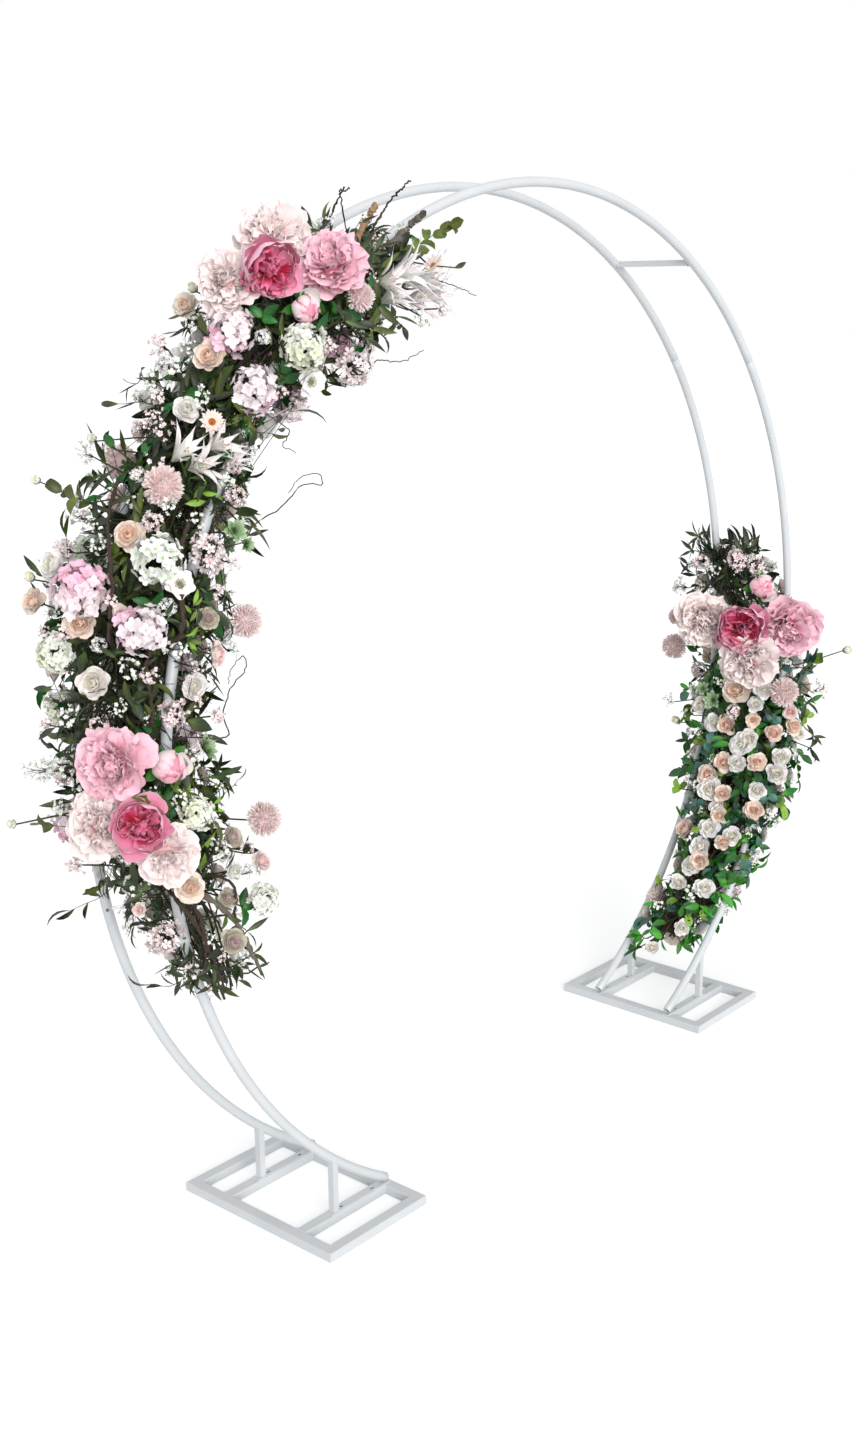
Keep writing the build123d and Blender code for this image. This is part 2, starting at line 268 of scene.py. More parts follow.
# Colours, as they look in plain light, though the folds and hearts noted below also carry painted shade and
# one tip colour a painted highlight
blush = (1.0, 0.955, 0.945)
# blush_fold, blush_heart, pink_heart and pink_fold: the peonies' own deeper tint towards the petal bases,
# deepened further as painted shade for the folds and heart
blush_fold = (1.0, 0.83, 0.825)
blush_heart = (1.0, 0.73, 0.73)
pink_heart = (0.9, 0.42, 0.55)
cream = (1.0, 0.97, 0.93)
pink_edge = (1.0, 0.835, 0.885)
pink_fold = (0.97, 0.62, 0.72)
hot_edge = (0.97, 0.52, 0.69)
hot_middle = (0.87, 0.29, 0.47)
# hot_heart: deep red that stands for the shade in the hot peony's crevices, painted at its petal bases and in
# its middle
hot_heart = (0.72, 0.1, 0.24)
# lilac_pink: the outer petals' own lighter tint, and a painted highlight on the tips of the hot peony's heart
# petals
lilac_pink = (0.98, 0.62, 0.78)
white = (1.0, 1.0, 0.99)
ivory = (0.99, 0.99, 0.93)
soft_pink = (1.0, 0.82, 0.91)
petal_white = (1.0, 0.955, 0.97)
peach = (1.0, 0.95, 0.9)
deep_peach = (1.0, 0.86, 0.765)
mauve = (0.88, 0.78, 0.78)
mauve_fold = (0.88, 0.74, 0.74)
mauve_pale = (1.0, 0.94, 0.94)
rose_blush = (1.0, 0.95, 0.93)
taupe = (0.84, 0.82, 0.74)
leaf_dark = (0.15, 0.21, 0.09)
leaf_deep = (0.08, 0.4, 0.14)
leaf_olive = (0.4, 0.46, 0.17)
leaf_fresh = (0.22, 0.6, 0.16)
leaf_lime = (0.62, 0.78, 0.28)
leaf_pale = (0.8, 0.93, 0.7)
leaf_blue = (0.3, 0.5, 0.47)
stem_green = (0.26, 0.28, 0.17)
stem_brown = (0.27, 0.21, 0.17)
pale_wood = (0.72, 0.58, 0.44)
grey_wood = (0.48, 0.44, 0.4)
orange_heart = (0.92, 0.55, 0.22)
grey_heart = (0.5, 0.52, 0.42)

# Outlines: shares of the length and of the half width
round_petal = ((0, 0.3), (0.25, 0.68), (0.55, 0.97), (0.78, 1.0), (0.93, 0.86), (1, 0.66))
fan_petal = ((0, 0.22), (0.3, 0.5), (0.65, 0.88), (0.9, 1.0), (1, 0.86))
long_petal = ((0, 0.25), (0.3, 0.8), (0.55, 1.0), (0.8, 0.66), (1, 0.06))
strap_petal = ((0, 0.5), (0.5, 0.9), (0.8, 1.0), (1, 0.55))
willow_leaf = ((0, 0.1), (0.12, 0.5), (0.38, 1.0), (0.65, 0.82), (0.88, 0.32), (1, 0.03))
broad_leaf = ((0, 0.1), (0.15, 0.62), (0.4, 1.0), (0.65, 0.86), (0.88, 0.38), (1, 0.03))
coin_leaf = ((0, 0.16), (0.18, 0.74), (0.5, 1.0), (0.8, 0.8), (0.94, 0.45), (1, 0.12))

# What a face is made of
petal_look, heart_look, leaf_look, bark_look = range(4)

# The way that the lilies lean
lily_lean = (0.52, -0.5, 0.35)

# Turns: the step between neighbours in a spiral, a whole turn, and the most that chance gives
golden_turn = np.pi * (3 - 5**0.5)
full_turn = 2 * np.pi
any_turn = 6.3

# Where blooms sit: share of the way to the skin, margin inside the reach, and what counts as out of sight
seat_share = 0.97
seat_margin = 0.03
out_of_sight = (-1, -0.42)
anywhere = (-1, 1)

# How much there is: small blooms in the gaps and their radii in metres, branches inside, and random seeds
left_fillers = 125
right_fillers = 40
filler_radii = (0.014, 0.024)
left_branches = 9
left_branch_radius = 0.004
right_branches = 7
right_branch_radius = 0.0032
left_seed = 11
right_seed = 23
weld_seed = 7

# Radii of thin stems at root and end, in metres
sprig_radii = (0.00165, 0.00066)
stalk_radii = (0.0022, 0.0014)
curly_radii = (0.0017, 0.0008)


def unit(vectors):
    """The same directions with length one."""
    vectors = np.asarray(vectors, float)
    return vectors / np.maximum(np.linalg.norm(vectors, axis=-1, keepdims=True), 1e-9)


def linear(colour):
    """A colour as it looks, turned to the amounts of light that Blender works with."""
    colour = np.asarray(colour, float)
    return np.where(colour <= 0.04045, colour / 12.92, ((colour + 0.055) / 1.055) ** 2.4)


def blend_colours(stops, shares):
    """The colours at these shares of the way through evenly spaced stops."""
    places = np.linspace(0, 1, len(stops))
    return np.stack([np.interp(shares, places, channel) for channel in linear(stops).T], -1)


def together(*parts):
    """Arrays spread to one shape and joined as coordinates."""
    return np.stack(np.broadcast_arrays(*parts), -1)


def camera_axes():
    """The ways ahead, to the right and up, as the camera sees them."""
    level_ahead = np.array((np.sin(camera_yaw), np.cos(camera_yaw), 0)) * np.cos(camera_pitch)
    ahead = level_ahead + (0, 0, np.sin(camera_pitch))
    level = unit(np.cross(ahead, (0, 0, 1)))
    upright = np.cross(level, ahead)
    right = level * np.cos(camera_roll) + upright * np.sin(camera_roll)
    return ahead, right, upright * np.cos(camera_roll) - level * np.sin(camera_roll)


camera_ahead, camera_right, camera_up = camera_axes()


def sight(across, down):
    """The direction in which the camera sees a pixel of the photograph."""
    aside = camera_right * (across - photo_width / 2)
    return unit(camera_ahead * focal_pixels + aside - camera_up * (down - photo_height / 2))


def ring_point(angle, radius, back):
    """A point from its angle on the hoops, in degrees, its radius and its place towards the back."""
    angle = np.radians(angle)
    return together(radius * np.cos(angle), back, hoop_height + radius * np.sin(angle))


class Garland:
    """The space that a garland fills along the hoops."""

    def __init__(self, sections):
        table = np.array(sorted(sections))
        self.angles = table[:, 0]
        self.table = table[:, 1:] / 1000
        self.start = table[0, 0]
        self.end = table[-1, 0]
        self.middle = (self.start + self.end) / 2

    def section(self, angle):
        """Shift outward, shift to the back, half width and half depth at an angle."""
        return [np.interp(angle, self.angles, self.table[:, i]) for i in range(4)]

    def point(self, angle, turn, share):
        """A point at a turn round the section, with share 0 in its middle and 1 on its skin."""
        out, back, half_out, half_deep = self.section(angle)
        radius = hoop_radius + out + share * half_out * np.cos(turn)
        return ring_point(angle, radius, back + share * half_deep * np.sin(turn))

    def spread(self, points):
        """Each point's angle, its share of the way to the skin, and the way outward there."""
        radial = np.hypot(points[..., 0], points[..., 2] - hoop_height)
        angle = np.degrees(np.arctan2(points[..., 2] - hoop_height, points[..., 0]))
        angle = self.middle + (angle - self.middle + 180) % 360 - 180
        out, back, half_out, half_deep = self.section(angle)
        outward = (radial - hoop_radius - out) / half_out
        backward = (points[..., 1] - back) / half_deep
        beyond = np.maximum(0, np.maximum(self.start - angle, angle - self.end))
        share = np.hypot(outward, backward) + np.radians(beyond) * hoop_radius / 0.1
        turn = np.radians(angle)
        away = together(
            np.cos(turn) * outward / half_out, backward / half_deep, np.sin(turn) * outward / half_out
        )
        return angle, share, unit(away)

    def seat(self, across, down, radius):
        """Where a bloom of the photograph sits, the way it faces, and its radius in metres."""
        ray = sight(across, down)
        points = camera_place + ray * np.arange(*sight_steps)[:, None]
        angle, share, away = self.spread(points)
        inside = np.all((points > reach_low + seat_margin) & (points < reach_high - seat_margin), axis=1)
        inner = np.flatnonzero((share < seat_share) & inside)
        nearest = inner[0] if len(inner) else np.argmin(share + 9 * ~inside)
        place = points[nearest]
        size = radius * (place - camera_place) @ camera_ahead / focal_pixels
        face = unit(0.75 * away[nearest] - 0.75 * ray + (0, 0, 0.12))
        return place, face, size


left_garland = Garland(left_sections)
right_garland = Garland(right_sections)


class Heap:
    """Faces gathered for a piece: points, four-cornered faces, colours, places on the petal, and looks."""

    def __init__(self):
        self.rows = []
        self.count = 0

    def add(self, points, faces, tints=(1, 1, 1), flow=(0, 0, 0), look=petal_look):
        """Adds points and faces with one look."""
        points = np.asarray(points, float).reshape(-1, 3)
        tints, flow = (np.broadcast_to(np.reshape(values, (-1, 3)), points.shape) for values in (tints, flow))
        looks = np.full(len(faces), look) if np.isscalar(look) else look
        self.rows.append((points, faces + self.count, tints, flow, looks))
        self.count += len(points)

    def merged(self):
        """Everything gathered so far as five arrays."""
        if len(self.rows) > 1:
            self.rows = [tuple(np.concatenate(column) for column in zip(*self.rows))]
        return self.rows[0]

    def fitted(self):
        """Scales the heap so that its widest reach round the axis is about one."""
        points, faces, tints, flow, looks = self.merged()
        reach = np.percentile(np.hypot(points[:, 0], points[:, 1])[points[:, 2] > -0.45], 98)
        self.rows = [(points / reach, faces, tints, flow, looks)]
        return self

    def copy_into(self, other, places, frames, sizes, tones=None):
        """Copies this heap into another at each place, turned by each frame and made each size."""
        if not len(places):
            return
        points, faces, tints, flow, looks = self.merged()
        number = len(places)
        sizes = np.broadcast_to(np.asarray(sizes, float), (number,))
        tones = np.ones((number, 3)) if tones is None else np.asarray(tones)
        moved = np.einsum("nij,pj->npi", frames, points) * sizes[:, None, None] + np.asarray(places)[:, None]
        shift = (np.arange(number) * len(points))[:, None, None]
        other.add(
            moved.reshape(-1, 3),
            (faces[None] + shift).reshape(-1, 4),
            np.clip(tints[None] * tones[:, None], 0, 1).reshape(-1, 3),
            np.tile(flow, (number, 1)),
            np.tile(looks, number),
        )


def frames_facing(ways, spins):
    """Frames whose third axis points each way, turned about it by each spin."""
    ways = unit(ways)
    helper = np.where(np.abs(ways[:, 2:]) < 0.9, (0, 0, 1), (1, 0, 0))
    side = unit(np.cross(helper, ways))
    other = np.cross(ways, side)
    cosine = np.cos(spins)[:, None]
    sine = np.sin(spins)[:, None]
    return np.stack([cosine * side + sine * other, cosine * other - sine * side, ways], -1)


def frames_growing(forward, top):
    """Frames whose second axis is the way a leaf grows and whose third axis is near the way its top looks."""
    forward = unit(forward)
    side = unit(np.cross(forward, top))
    return np.stack([side, forward, np.cross(side, forward)], -1)


def grid_faces(rows, columns, closed=False):
    """Faces of a grid of points, closed round its columns if asked."""
    row = np.arange(rows - 1)[:, None] * columns
    column = np.arange(columns if closed else columns - 1)[None]
    follow = (column + 1) % columns
    return together(row + column, row + follow, row + columns + follow, row + columns + column).reshape(-1, 4)


def add_petal(heap, width, length, lean, curl, colours, outline=round_petal, cup=0.6, fold=0.0, ruffle=0.0,
              waves=3.0, dip=0.18, across=4, along=5, spin=0.0, offset=0.0, lift=0.0, phase=0.0,
              look=petal_look):
    """A petal or leaf from the heap's axis. Lean and curl are its angles from the axis at base and tip."""
    side = np.linspace(-1, 1, across + 1)[None, :]
    share = np.linspace(0, 1, along + 1)[:, None]
    angle = lean + (curl - lean) * share**1.4
    step = length / along
    middle = (angle[1:] + angle[:-1]) / 2
    reach = np.concatenate([[[0]], np.cumsum(np.sin(middle), 0)]) * step
    rise = np.concatenate([[[0]], np.cumsum(np.cos(middle), 0)]) * step
    half = width / 2 * np.interp(share, *zip(*outline))
    sideways = half * np.sin(side * cup) / cup
    inward = half * (1 - np.cos(side * cup)) / cup + fold * half * np.abs(side)
    wave = np.sin(waves * np.pi * side + phase)
    wave = wave + 0.6 * np.sin(2.3 * waves * np.pi * side + 2.1 * phase + 3 * share)
    inward = inward + ruffle * length * share**2.2 * wave
    swell = np.cos(3.1 * waves * side + 1.7 * phase)
    onward = -dip * length * side**2 * share**2 + 0.45 * ruffle * length * share**4 * swell
    y = offset + reach - np.cos(angle) * inward + np.sin(angle) * onward
    z = lift + rise + np.sin(angle) * inward + np.cos(angle) * onward
    cosine = np.cos(spin)
    sine = np.sin(spin)
    points = together(sideways * cosine - y * sine, sideways * sine + y * cosine, z)
    tints = blend_colours(colours, np.clip(share + 0.12 * (np.abs(side) - 0.5), 0, 1))
    flow = together(side, share, spin * 7.3 + phase)
    heap.add(points, grid_faces(along + 1, across + 1), tints, flow, look)


def add_tube(heap, path, radii, colour, look, sides=6):
    """A round tube along a path of points."""
    path = np.asarray(path, float)
    radii = np.broadcast_to(radii, (len(path),))
    heading = unit(np.gradient(path, axis=0))
    chord = unit(path[-1] - path[0] + (0.013, 0.021, 0.017))
    steady = unit(np.cross(heading, chord[None] + (0.31, 0.17, 0.53)))
    other = np.cross(heading, steady)
    turn = np.linspace(0, full_turn, sides, endpoint=False)[None, :, None]
    ring = steady[:, None] * np.cos(turn) + other[:, None] * np.sin(turn)
    flow = together(np.linspace(-1, 1, sides)[None], np.linspace(0, 1, len(path))[:, None], path[0, 0])
    faces = grid_faces(len(path), sides, True)
    heap.add(path[:, None] + ring * radii[:, None, None], faces, linear(colour), flow, look)


def add_bead(heap, centre, radius, colour, look, rounds=5, sides=7, squash=1.0):
    """A small rounded bead."""
    tilt = np.linspace(0.06, np.pi - 0.06, rounds)[:, None]
    turn = np.linspace(0, full_turn, sides, endpoint=False)[None]
    points = together(np.sin(tilt) * np.cos(turn), np.sin(tilt) * np.sin(turn), squash * np.cos(tilt))
    flow = together(np.cos(turn), tilt / np.pi, 0.4)
    heap.add(points * radius + centre, grid_faces(rounds, sides, True), linear(colour), flow, look)


def dome(number, widest):
    """Evenly spread directions from straight up to the widest angle."""
    order = np.arange(number) + 0.5
    height = 1 - order / number * (1 - np.cos(widest))
    flat = np.sqrt(1 - height**2)
    turn = order * golden_turn
    return np.stack([flat * np.cos(turn), flat * np.sin(turn), height], -1)


def curve_through(points, number):
    """Points spaced along a smooth curve through a few given ones."""
    points = np.asarray(points, float)
    ends = np.concatenate([[2 * points[0] - points[1]], points, [2 * points[-1] - points[-2]]])
    place = np.linspace(0, len(points) - 1.0001, number)
    index = place.astype(int)
    t = (place - index)[:, None]
    a, b, c, d = (ends[index + i] for i in range(4))
    return 0.5 * (2 * b + (c - a) * t + (2 * a - 5 * b + 4 * c - d) * t**2 + (3 * b - a - 3 * c + d) * t**3)


def add_sepals(heap, number, size, lift, colour=leaf_fresh, lean=1.0):
    """Green leaves that hold a bloom from below."""
    for i in range(number):
        add_petal(
            heap, 0.42 * size, size, lean, 2.0, (colour, colour, leaf_olive), long_petal, 0.5, across=2,
            along=4, spin=i * full_turn / number + 0.3, offset=0.05, lift=lift, look=leaf_look,
        )


def add_rings(heap, rng, rings, colours, outline, ruffle, waves, dip=0.16, cup=(0.5, 1.0), cells=8,
              wild=0.1):
    """Rings of petals: number, width, length, angles at base and tip, how far out and how high they start."""
    for order, (number, width, length, lean, curl, offset, lift) in enumerate(rings):
        for i in range(number):
            add_petal(
                heap, width * rng.uniform(0.78, 1.18), length * rng.uniform(0.84, 1.1),
                lean + rng.normal(0, wild), curl + rng.normal(0, 2.2 * wild), colours, outline,
                rng.uniform(*cup), ruffle=rng.uniform(*ruffle), waves=rng.uniform(*waves), dip=dip,
                across=cells, along=cells,
                spin=i * full_turn / number + order * 0.7 + rng.normal(0, 1.6 * wild), offset=offset,
                lift=lift + rng.normal(0, 0.3 * wild), phase=rng.uniform(0, any_turn),
            )


def half_way(first, second):
    """The colour half way between two."""
    return tuple((np.array(first) + np.array(second)) / 2)


def full_peony(rng, edge, fold, heart, frill):
    """A full peony: wide guard petals round ring upon ring of smaller ruffled ones."""
    heap = Heap()
    guards = (
        (7, 1.1, 1.14, 0.85, 1.75, 0.1, -0.54), (7, 1.12, 1.12, 0.75, 1.4, 0.1, -0.5),
        (7, 1.05, 1.06, 0.62, 1.05, 0.12, -0.46),
    )
    # From here on each petal runs from the fold colour at its base to the edge colour: the peony's own deeper
    # tint there, darkened further as painted shade in the folds, with the heart colour deepest in the middle
    add_rings(heap, rng, guards, (fold, edge, edge), fan_petal, (0.03, 0.07), (1.4, 2.6), wild=0.13)
    outer = (
        (11, 0.62 * frill, 0.72, 0.75, 1.2, 0.32, -0.28), (11, 0.6 * frill, 0.7, 0.6, 0.9, 0.28, -0.2),
        (10, 0.56 * frill, 0.66, 0.45, 0.62, 0.23, -0.12), (9, 0.52 * frill, 0.62, 0.3, 0.38, 0.18, -0.06),
    )
    colours = (fold, half_way(fold, edge), edge, edge)
    add_rings(heap, rng, outer, colours, fan_petal, (0.08, 0.15), (1.8, 3.4), -0.04, (0.5, 1.3), 7, 0.24)
    inner = (
        (8, 0.48 * frill, 0.58, 0.15, 0.1, 0.13, -0.02), (6, 0.44 * frill, 0.54, 0.05, -0.15, 0.08, 0.0),
        (4, 0.4 * frill, 0.5, 0.0, -0.35, 0.04, 0.02),
    )
    colours = (heart, fold, edge, edge)
    add_rings(heap, rng, inner, colours, fan_petal, (0.08, 0.15), (1.6, 3.0), -0.04, (0.6, 1.4), 6, 0.24)
    add_bead(heap, (0, 0, -0.28), 0.42, fold, petal_look, 7, 12, 0.8)
    return heap.fitted()


def bowl_peony(rng):
    """A half open peony: a cup of lilac pink petals round crumpled hot pink ones, with deep red painted
    between them as the shade of the crevices.
    """
    heap = Heap()
    guards = ((6, 1.3, 1.4, 1.38, 0.02, 0.1, -0.52), (6, 1.25, 1.42, 1.3, -0.3, 0.1, -0.5))
    colours = (hot_middle, lilac_pink, pink_edge)
    add_rings(heap, rng, guards, colours, round_petal, (0.02, 0.045), (0.8, 1.8), 0.06, (0.8, 1.0))
    bowl = ((6, 1.1, 1.28, 1.18, -0.4, 0.08, -0.48),)
    # The deep red at these petal bases is painted shade for the crevices
    colours = (hot_heart, hot_middle, hot_edge)
    add_rings(heap, rng, bowl, colours, round_petal, (0.04, 0.08), (1.0, 2.0), 0.1, (0.8, 1.1), wild=0.14)
    hearts = (
        (8, 0.52, 0.92, 0.62, 0.05, 0.26, -0.48), (8, 0.48, 0.9, 0.38, -0.1, 0.16, -0.46),
        (6, 0.44, 0.84, 0.12, -0.35, 0.07, -0.44),
    )
    # The lilac pink tips of the heart petals are a painted highlight, and their deep red bases painted shade
    colours = (hot_heart, hot_heart, hot_middle, lilac_pink)
    add_rings(heap, rng, hearts, colours, fan_petal, (0.1, 0.18), (1.0, 2.4), 0.04, (1.0, 1.8), 6, 0.3)
    # A deep red bead in the middle, painted shade between the heart petals
    add_bead(heap, (0, 0, -0.45), 0.5, hot_heart, petal_look, 7, 12, 0.5)
    add_sepals(heap, 5, 1.15, -0.6, lean=1.7)
    return heap.fitted()


def peony_bud(rng):
    """A closing peony: cupped petals folded over each other, one white petal and green sepals."""
    heap = Heap()
    for i in range(15):
        inner = i / 14
        add_petal(
            heap, 1.3 - 0.6 * inner, 1.85 - 0.35 * inner, 1.35 - 0.7 * inner,
            -1.45 + 0.5 * inner + rng.normal(0, 0.1), (blush, blush, pink_edge if i % 3 else pink_fold),
            cup=1.2, ruffle=0.035, waves=1.8, across=6, along=8, spin=i * golden_turn, offset=0.04,
            lift=-0.85 + 0.04 * inner, phase=rng.uniform(0, 6),
        )
    add_bead(heap, (0, 0, -0.1), 0.55, pink_fold, petal_look, 7, 10, 1.1)
    add_petal(
        heap, 1.3, 1.25, 1.3, 0.25, (white, white, cream), cup=0.9, across=6, along=6, spin=2.6, offset=0.12,
        lift=-0.9,
    )
    add_sepals(heap, 4, 1.3, -0.9)
    return heap


def rose(rng, edge, fold, cells=5):
    """A garden rose: cups of petals inside each other round a tight heart, the outer ones open."""
    heap = Heap()
    half = half_way(fold, edge)
    hearts = (
        (4, 0.48, 0.52, 0.55, -0.8, 0.01, -0.3), (5, 0.74, 0.72, 0.85, -0.6, 0.02, -0.38),
        (5, 0.96, 0.9, 1.05, -0.3, 0.04, -0.45),
    )
    cups = (
        (5, 1.14, 1.02, 1.2, 0.1, 0.06, -0.5), (6, 1.2, 1.08, 1.3, 0.5, 0.07, -0.54),
        (7, 1.24, 1.06, 1.4, 0.95, 0.08, -0.56),
    )
    colours = (fold, fold, half)
    add_rings(heap, rng, hearts, colours, round_petal, (0.01, 0.02), (0.8, 1.4), 0.04, (1.0, 1.3), cells)
    colours = (half, edge, edge)
    add_rings(heap, rng, cups, colours, round_petal, (0.012, 0.028), (0.8, 1.6), 0.02, (0.8, 1.1), cells)
    add_sepals(heap, 5, 0.62, -0.64, lean=1.6)
    return heap.fitted()


def mum(rng):
    """A pompon chrysanthemum: a ball of short spooned petals."""
    heap = Heap()
    for way in dome(230, 2.2):
        tilt = np.arccos(way[2])
        add_petal(
            heap, rng.uniform(0.17, 0.23), rng.uniform(0.34, 0.44), tilt + 0.2,
            tilt - 0.85 + rng.normal(0, 0.2), (mauve_fold, rose_blush, blush), strap_petal, 1.3, across=2,
            along=3, spin=np.arctan2(way[1], way[0]) - np.pi / 2 + rng.normal(0, 0.12),
            offset=0.6 * np.sin(tilt), lift=0.6 * way[2],
        )
    add_bead(heap, (0, 0, 0), 0.64, mauve, petal_look, 7, 10)
    add_sepals(heap, 6, 0.5, -0.7)
    return heap.fitted()


def floret(rng, petals, tip, heart, lean, curl, width, ruffle=0.03, outline=round_petal, across=2):
    """A small open flower of a few petals."""
    heap = Heap()
    for i in range(petals):
        add_petal(
            heap, width * 2.4 / petals * 1.15, 1.0, lean, curl + rng.normal(0, 0.08), (heart, tip, tip),
            outline, 0.45, ruffle=ruffle, waves=1.3, across=across, along=2, spin=i * full_turn / petals,
            offset=0.06, phase=rng.uniform(0, any_turn),
        )
    add_bead(heap, (0, 0, 0.1), 0.13, heart, heart_look, 3, 3)
    return heap


def hydrangea(rng, tip, other, heart):
    """A hydrangea head: a ragged dome of four-petalled florets, with one side in a second colour."""
    heap = Heap()
    opened = ((1.15, 1.5), (0.9, 1.35), (1.2, 1.2))
    small = [floret(rng, 4, tip, heart, lean, curl, 1.45) for lean, curl in opened]
    side = unit(rng.normal(0, 1, 3))
    for number, reach, low, high in ((54, 0.82, 0.22, 0.31), (30, 0.6, 0.25, 0.33)):
        ways = unit(dome(number, 2.0) + rng.normal(0, 0.14, (number, 3)))
        share = np.clip(0.1 + 1.3 * (ways @ side) + rng.normal(0, 0.22, number), 0, 1)[:, None]
        tones = (1 + share * (linear(other) / linear(tip) - 1)) * rng.uniform(0.92, 1.0, (number, 1))
        faces = unit(ways + rng.normal(0, 0.28, (number, 3)))
        frames = frames_facing(faces, rng.uniform(0, any_turn, number))
        places = ways * rng.uniform(0.78, 1.16, (number, 1)) * reach * (1, 1, 0.82)
        sizes = rng.uniform(low, high, number)
        for i, shape in enumerate(small):
            shape.copy_into(heap, places[i::3], frames[i::3], sizes[i::3], tones[i::3])
    for way in dome(14, 1.9):
        add_tube(heap, [way * 0.1 + (0, 0, -0.5), way * 0.5], 0.03, stem_green, leaf_look, 4)
    add_sepals(heap, 3, 1.1, -0.45, leaf_deep)
    return heap.fitted()


def stock(rng, tip, heart):
    """A loose head of ruffled five-petalled florets."""
    heap = Heap()
    number = 30
    small = [floret(rng, 5, tip, heart, 0.7, 1.5, 1.2, 0.1, fan_petal) for i in range(3)]
    ways = unit(dome(number, 2.2) + rng.normal(0, 0.14, (number, 3)))
    faces = unit(ways + rng.normal(0, 0.3, (number, 3)))
    frames = frames_facing(faces, rng.uniform(0, any_turn, number))
    places = ways * rng.uniform(0.55, 0.86, (number, 1)) * (1, 0.8, 0.8)
    tones = rng.uniform(0.82, 1.1, (number, 1)) * np.ones((1, 3))
    for i, shape in enumerate(small):
        sizes = rng.uniform(0.24, 0.33, len(places[i::3]))
        shape.copy_into(heap, places[i::3], frames[i::3], sizes, tones[i::3])
    for place in places:
        add_tube(heap, [(0, 0, -0.6), place * 0.5, place * 0.96], 0.02, stem_brown, bark_look, 3)
    return heap


def spray(rng, tip, heart, number=16):
    """A loose spray of small florets and buds on thin stalks."""
    heap = Heap()
    small = [floret(rng, 5, tip, heart, 0.6, 1.2, 1.1, 0.05, across=1) for i in range(2)]
    ways = unit(rng.normal(0, 1, (number, 3)) + (0, 0, 0.5))
    places = ways * rng.uniform(0.35, 0.95, (number, 1))
    frames = frames_facing(ways + rng.normal(0, 0.3, (number, 3)), rng.uniform(0, any_turn, number))
    sizes = rng.uniform(0.24, 0.42, number)
    for i, shape in enumerate(small):
        shape.copy_into(heap, places[i::2], frames[i::2], sizes[i::2])
    for place in places:
        bend = place * 0.5 + rng.normal(0, 0.06, 3)
        add_tube(heap, [(0, 0, -0.8), bend, place * 0.97], 0.018, stem_green, leaf_look, 3)
    return heap


def anemone(rng):
    """A white anemone with a grey green heart and a ring of stamens."""
    heap = Heap()
    for i in range(10):
        outer = int(i >= 5)
        add_petal(
            heap, rng.uniform(0.78, 0.92), 0.98 if outer else 0.86, 1.0 + 0.2 * outer, 1.15 + 0.35 * outer,
            ((0.9, 0.92, 0.84), white, white), cup=0.7, ruffle=0.03, waves=1.4, across=6, along=6,
            spin=i * full_turn / 5 + 0.6 * outer, offset=0.08, lift=-0.1 - 0.05 * outer,
            phase=rng.uniform(0, any_turn),
        )
    add_bead(heap, (0, 0, 0.05), 0.17, grey_heart, heart_look, 6, 9, 0.8)
    for i in range(30):
        turn = i * golden_turn
        reach = rng.uniform(0.24, 0.36)
        end = np.array((np.cos(turn) * reach, np.sin(turn) * reach, rng.uniform(0.08, 0.2)))
        add_tube(heap, [end * 0.35, end], 0.01, taupe, heart_look, 4)
        add_bead(heap, end, 0.028, grey_heart, heart_look, 3, 4)
    add_sepals(heap, 4, 0.6, -0.2)
    return heap


def daisy(rng):
    """A blush daisy with an orange heart."""
    heap = Heap()
    for i in range(22):
        outer = i % 2
        add_petal(
            heap, rng.uniform(0.3, 0.4), 0.92 + 0.1 * outer, 0.95 + 0.15 * outer, 1.2 + 0.3 * outer,
            (deep_peach, peach, blush), strap_petal, ruffle=0.02, across=2, spin=i * full_turn / 22,
            offset=0.1, lift=-0.12 - 0.04 * outer, phase=rng.uniform(0, any_turn),
        )
    for way in dome(46, 1.5):
        add_bead(heap, way * (0.27, 0.27, 0.16), 0.048, orange_heart, heart_look, 3, 5)
    add_sepals(heap, 5, 0.5, -0.2)
    return heap


def lily(rng):
    """A slender white lily of long petals that arch back."""
    heap = Heap()
    for i in range(9):
        add_petal(
            heap, rng.uniform(0.32, 0.44), rng.uniform(1.6, 2.1), 0.2 + 0.25 * (i % 2),
            0.9 + rng.normal(0, 0.3), ((0.8, 0.86, 0.72), white, (1.0, 0.95, 0.97)), long_petal, 0.8,
            fold=0.2, along=8, spin=i * full_turn / 9, offset=0.04, lift=-0.7, ruffle=0.02,
        )
    for i in range(5):
        turn = i * full_turn / 5
        end = np.array((0.14 * np.cos(turn), 0.14 * np.sin(turn), 0.25))
        add_tube(heap, [(0, 0, -0.5), end], 0.012, leaf_pale, heart_look, 4)
        add_bead(heap, end, 0.04, orange_heart, heart_look, 3, 4)
    return heap


def succulent(rng):
    """A pale green rosette of thick pointed leaves, the same each time."""
    heap = Heap()
    for i in range(30):
        outer = i / 29
        for top in (0.0, -0.035):
            add_petal(
                heap, 0.16 + 0.28 * outer, 0.35 + 0.62 * outer, 0.1 + 1.05 * outer, 1.25 * outer,
                (leaf_fresh, leaf_pale, (0.9, 0.98, 0.84)), long_petal, 0.9 if top else 0.5, across=2,
                spin=i * golden_turn, offset=0.05, lift=-0.18 - 0.12 * outer + top, look=leaf_look,
            )
    return heap


def flower_bud(rng):
    """A small closed bud of green sepals with pale petal tips, the same each time."""
    heap = Heap()
    for i in range(6):
        add_petal(heap, 0.9, 1.5, 1.0, -0.55, (leaf_pale, ivory, ivory), cup=1.1, along=6,
                  spin=i * golden_turn, lift=-0.7, phase=i)
    for i in range(5):
        add_petal(heap, 0.75, 1.15, 1.15, -0.25, (leaf_fresh, leaf_olive, leaf_dark), long_petal, 1.0,
                  across=2, spin=i * full_turn / 5, lift=-0.78, look=leaf_look)
    return heap


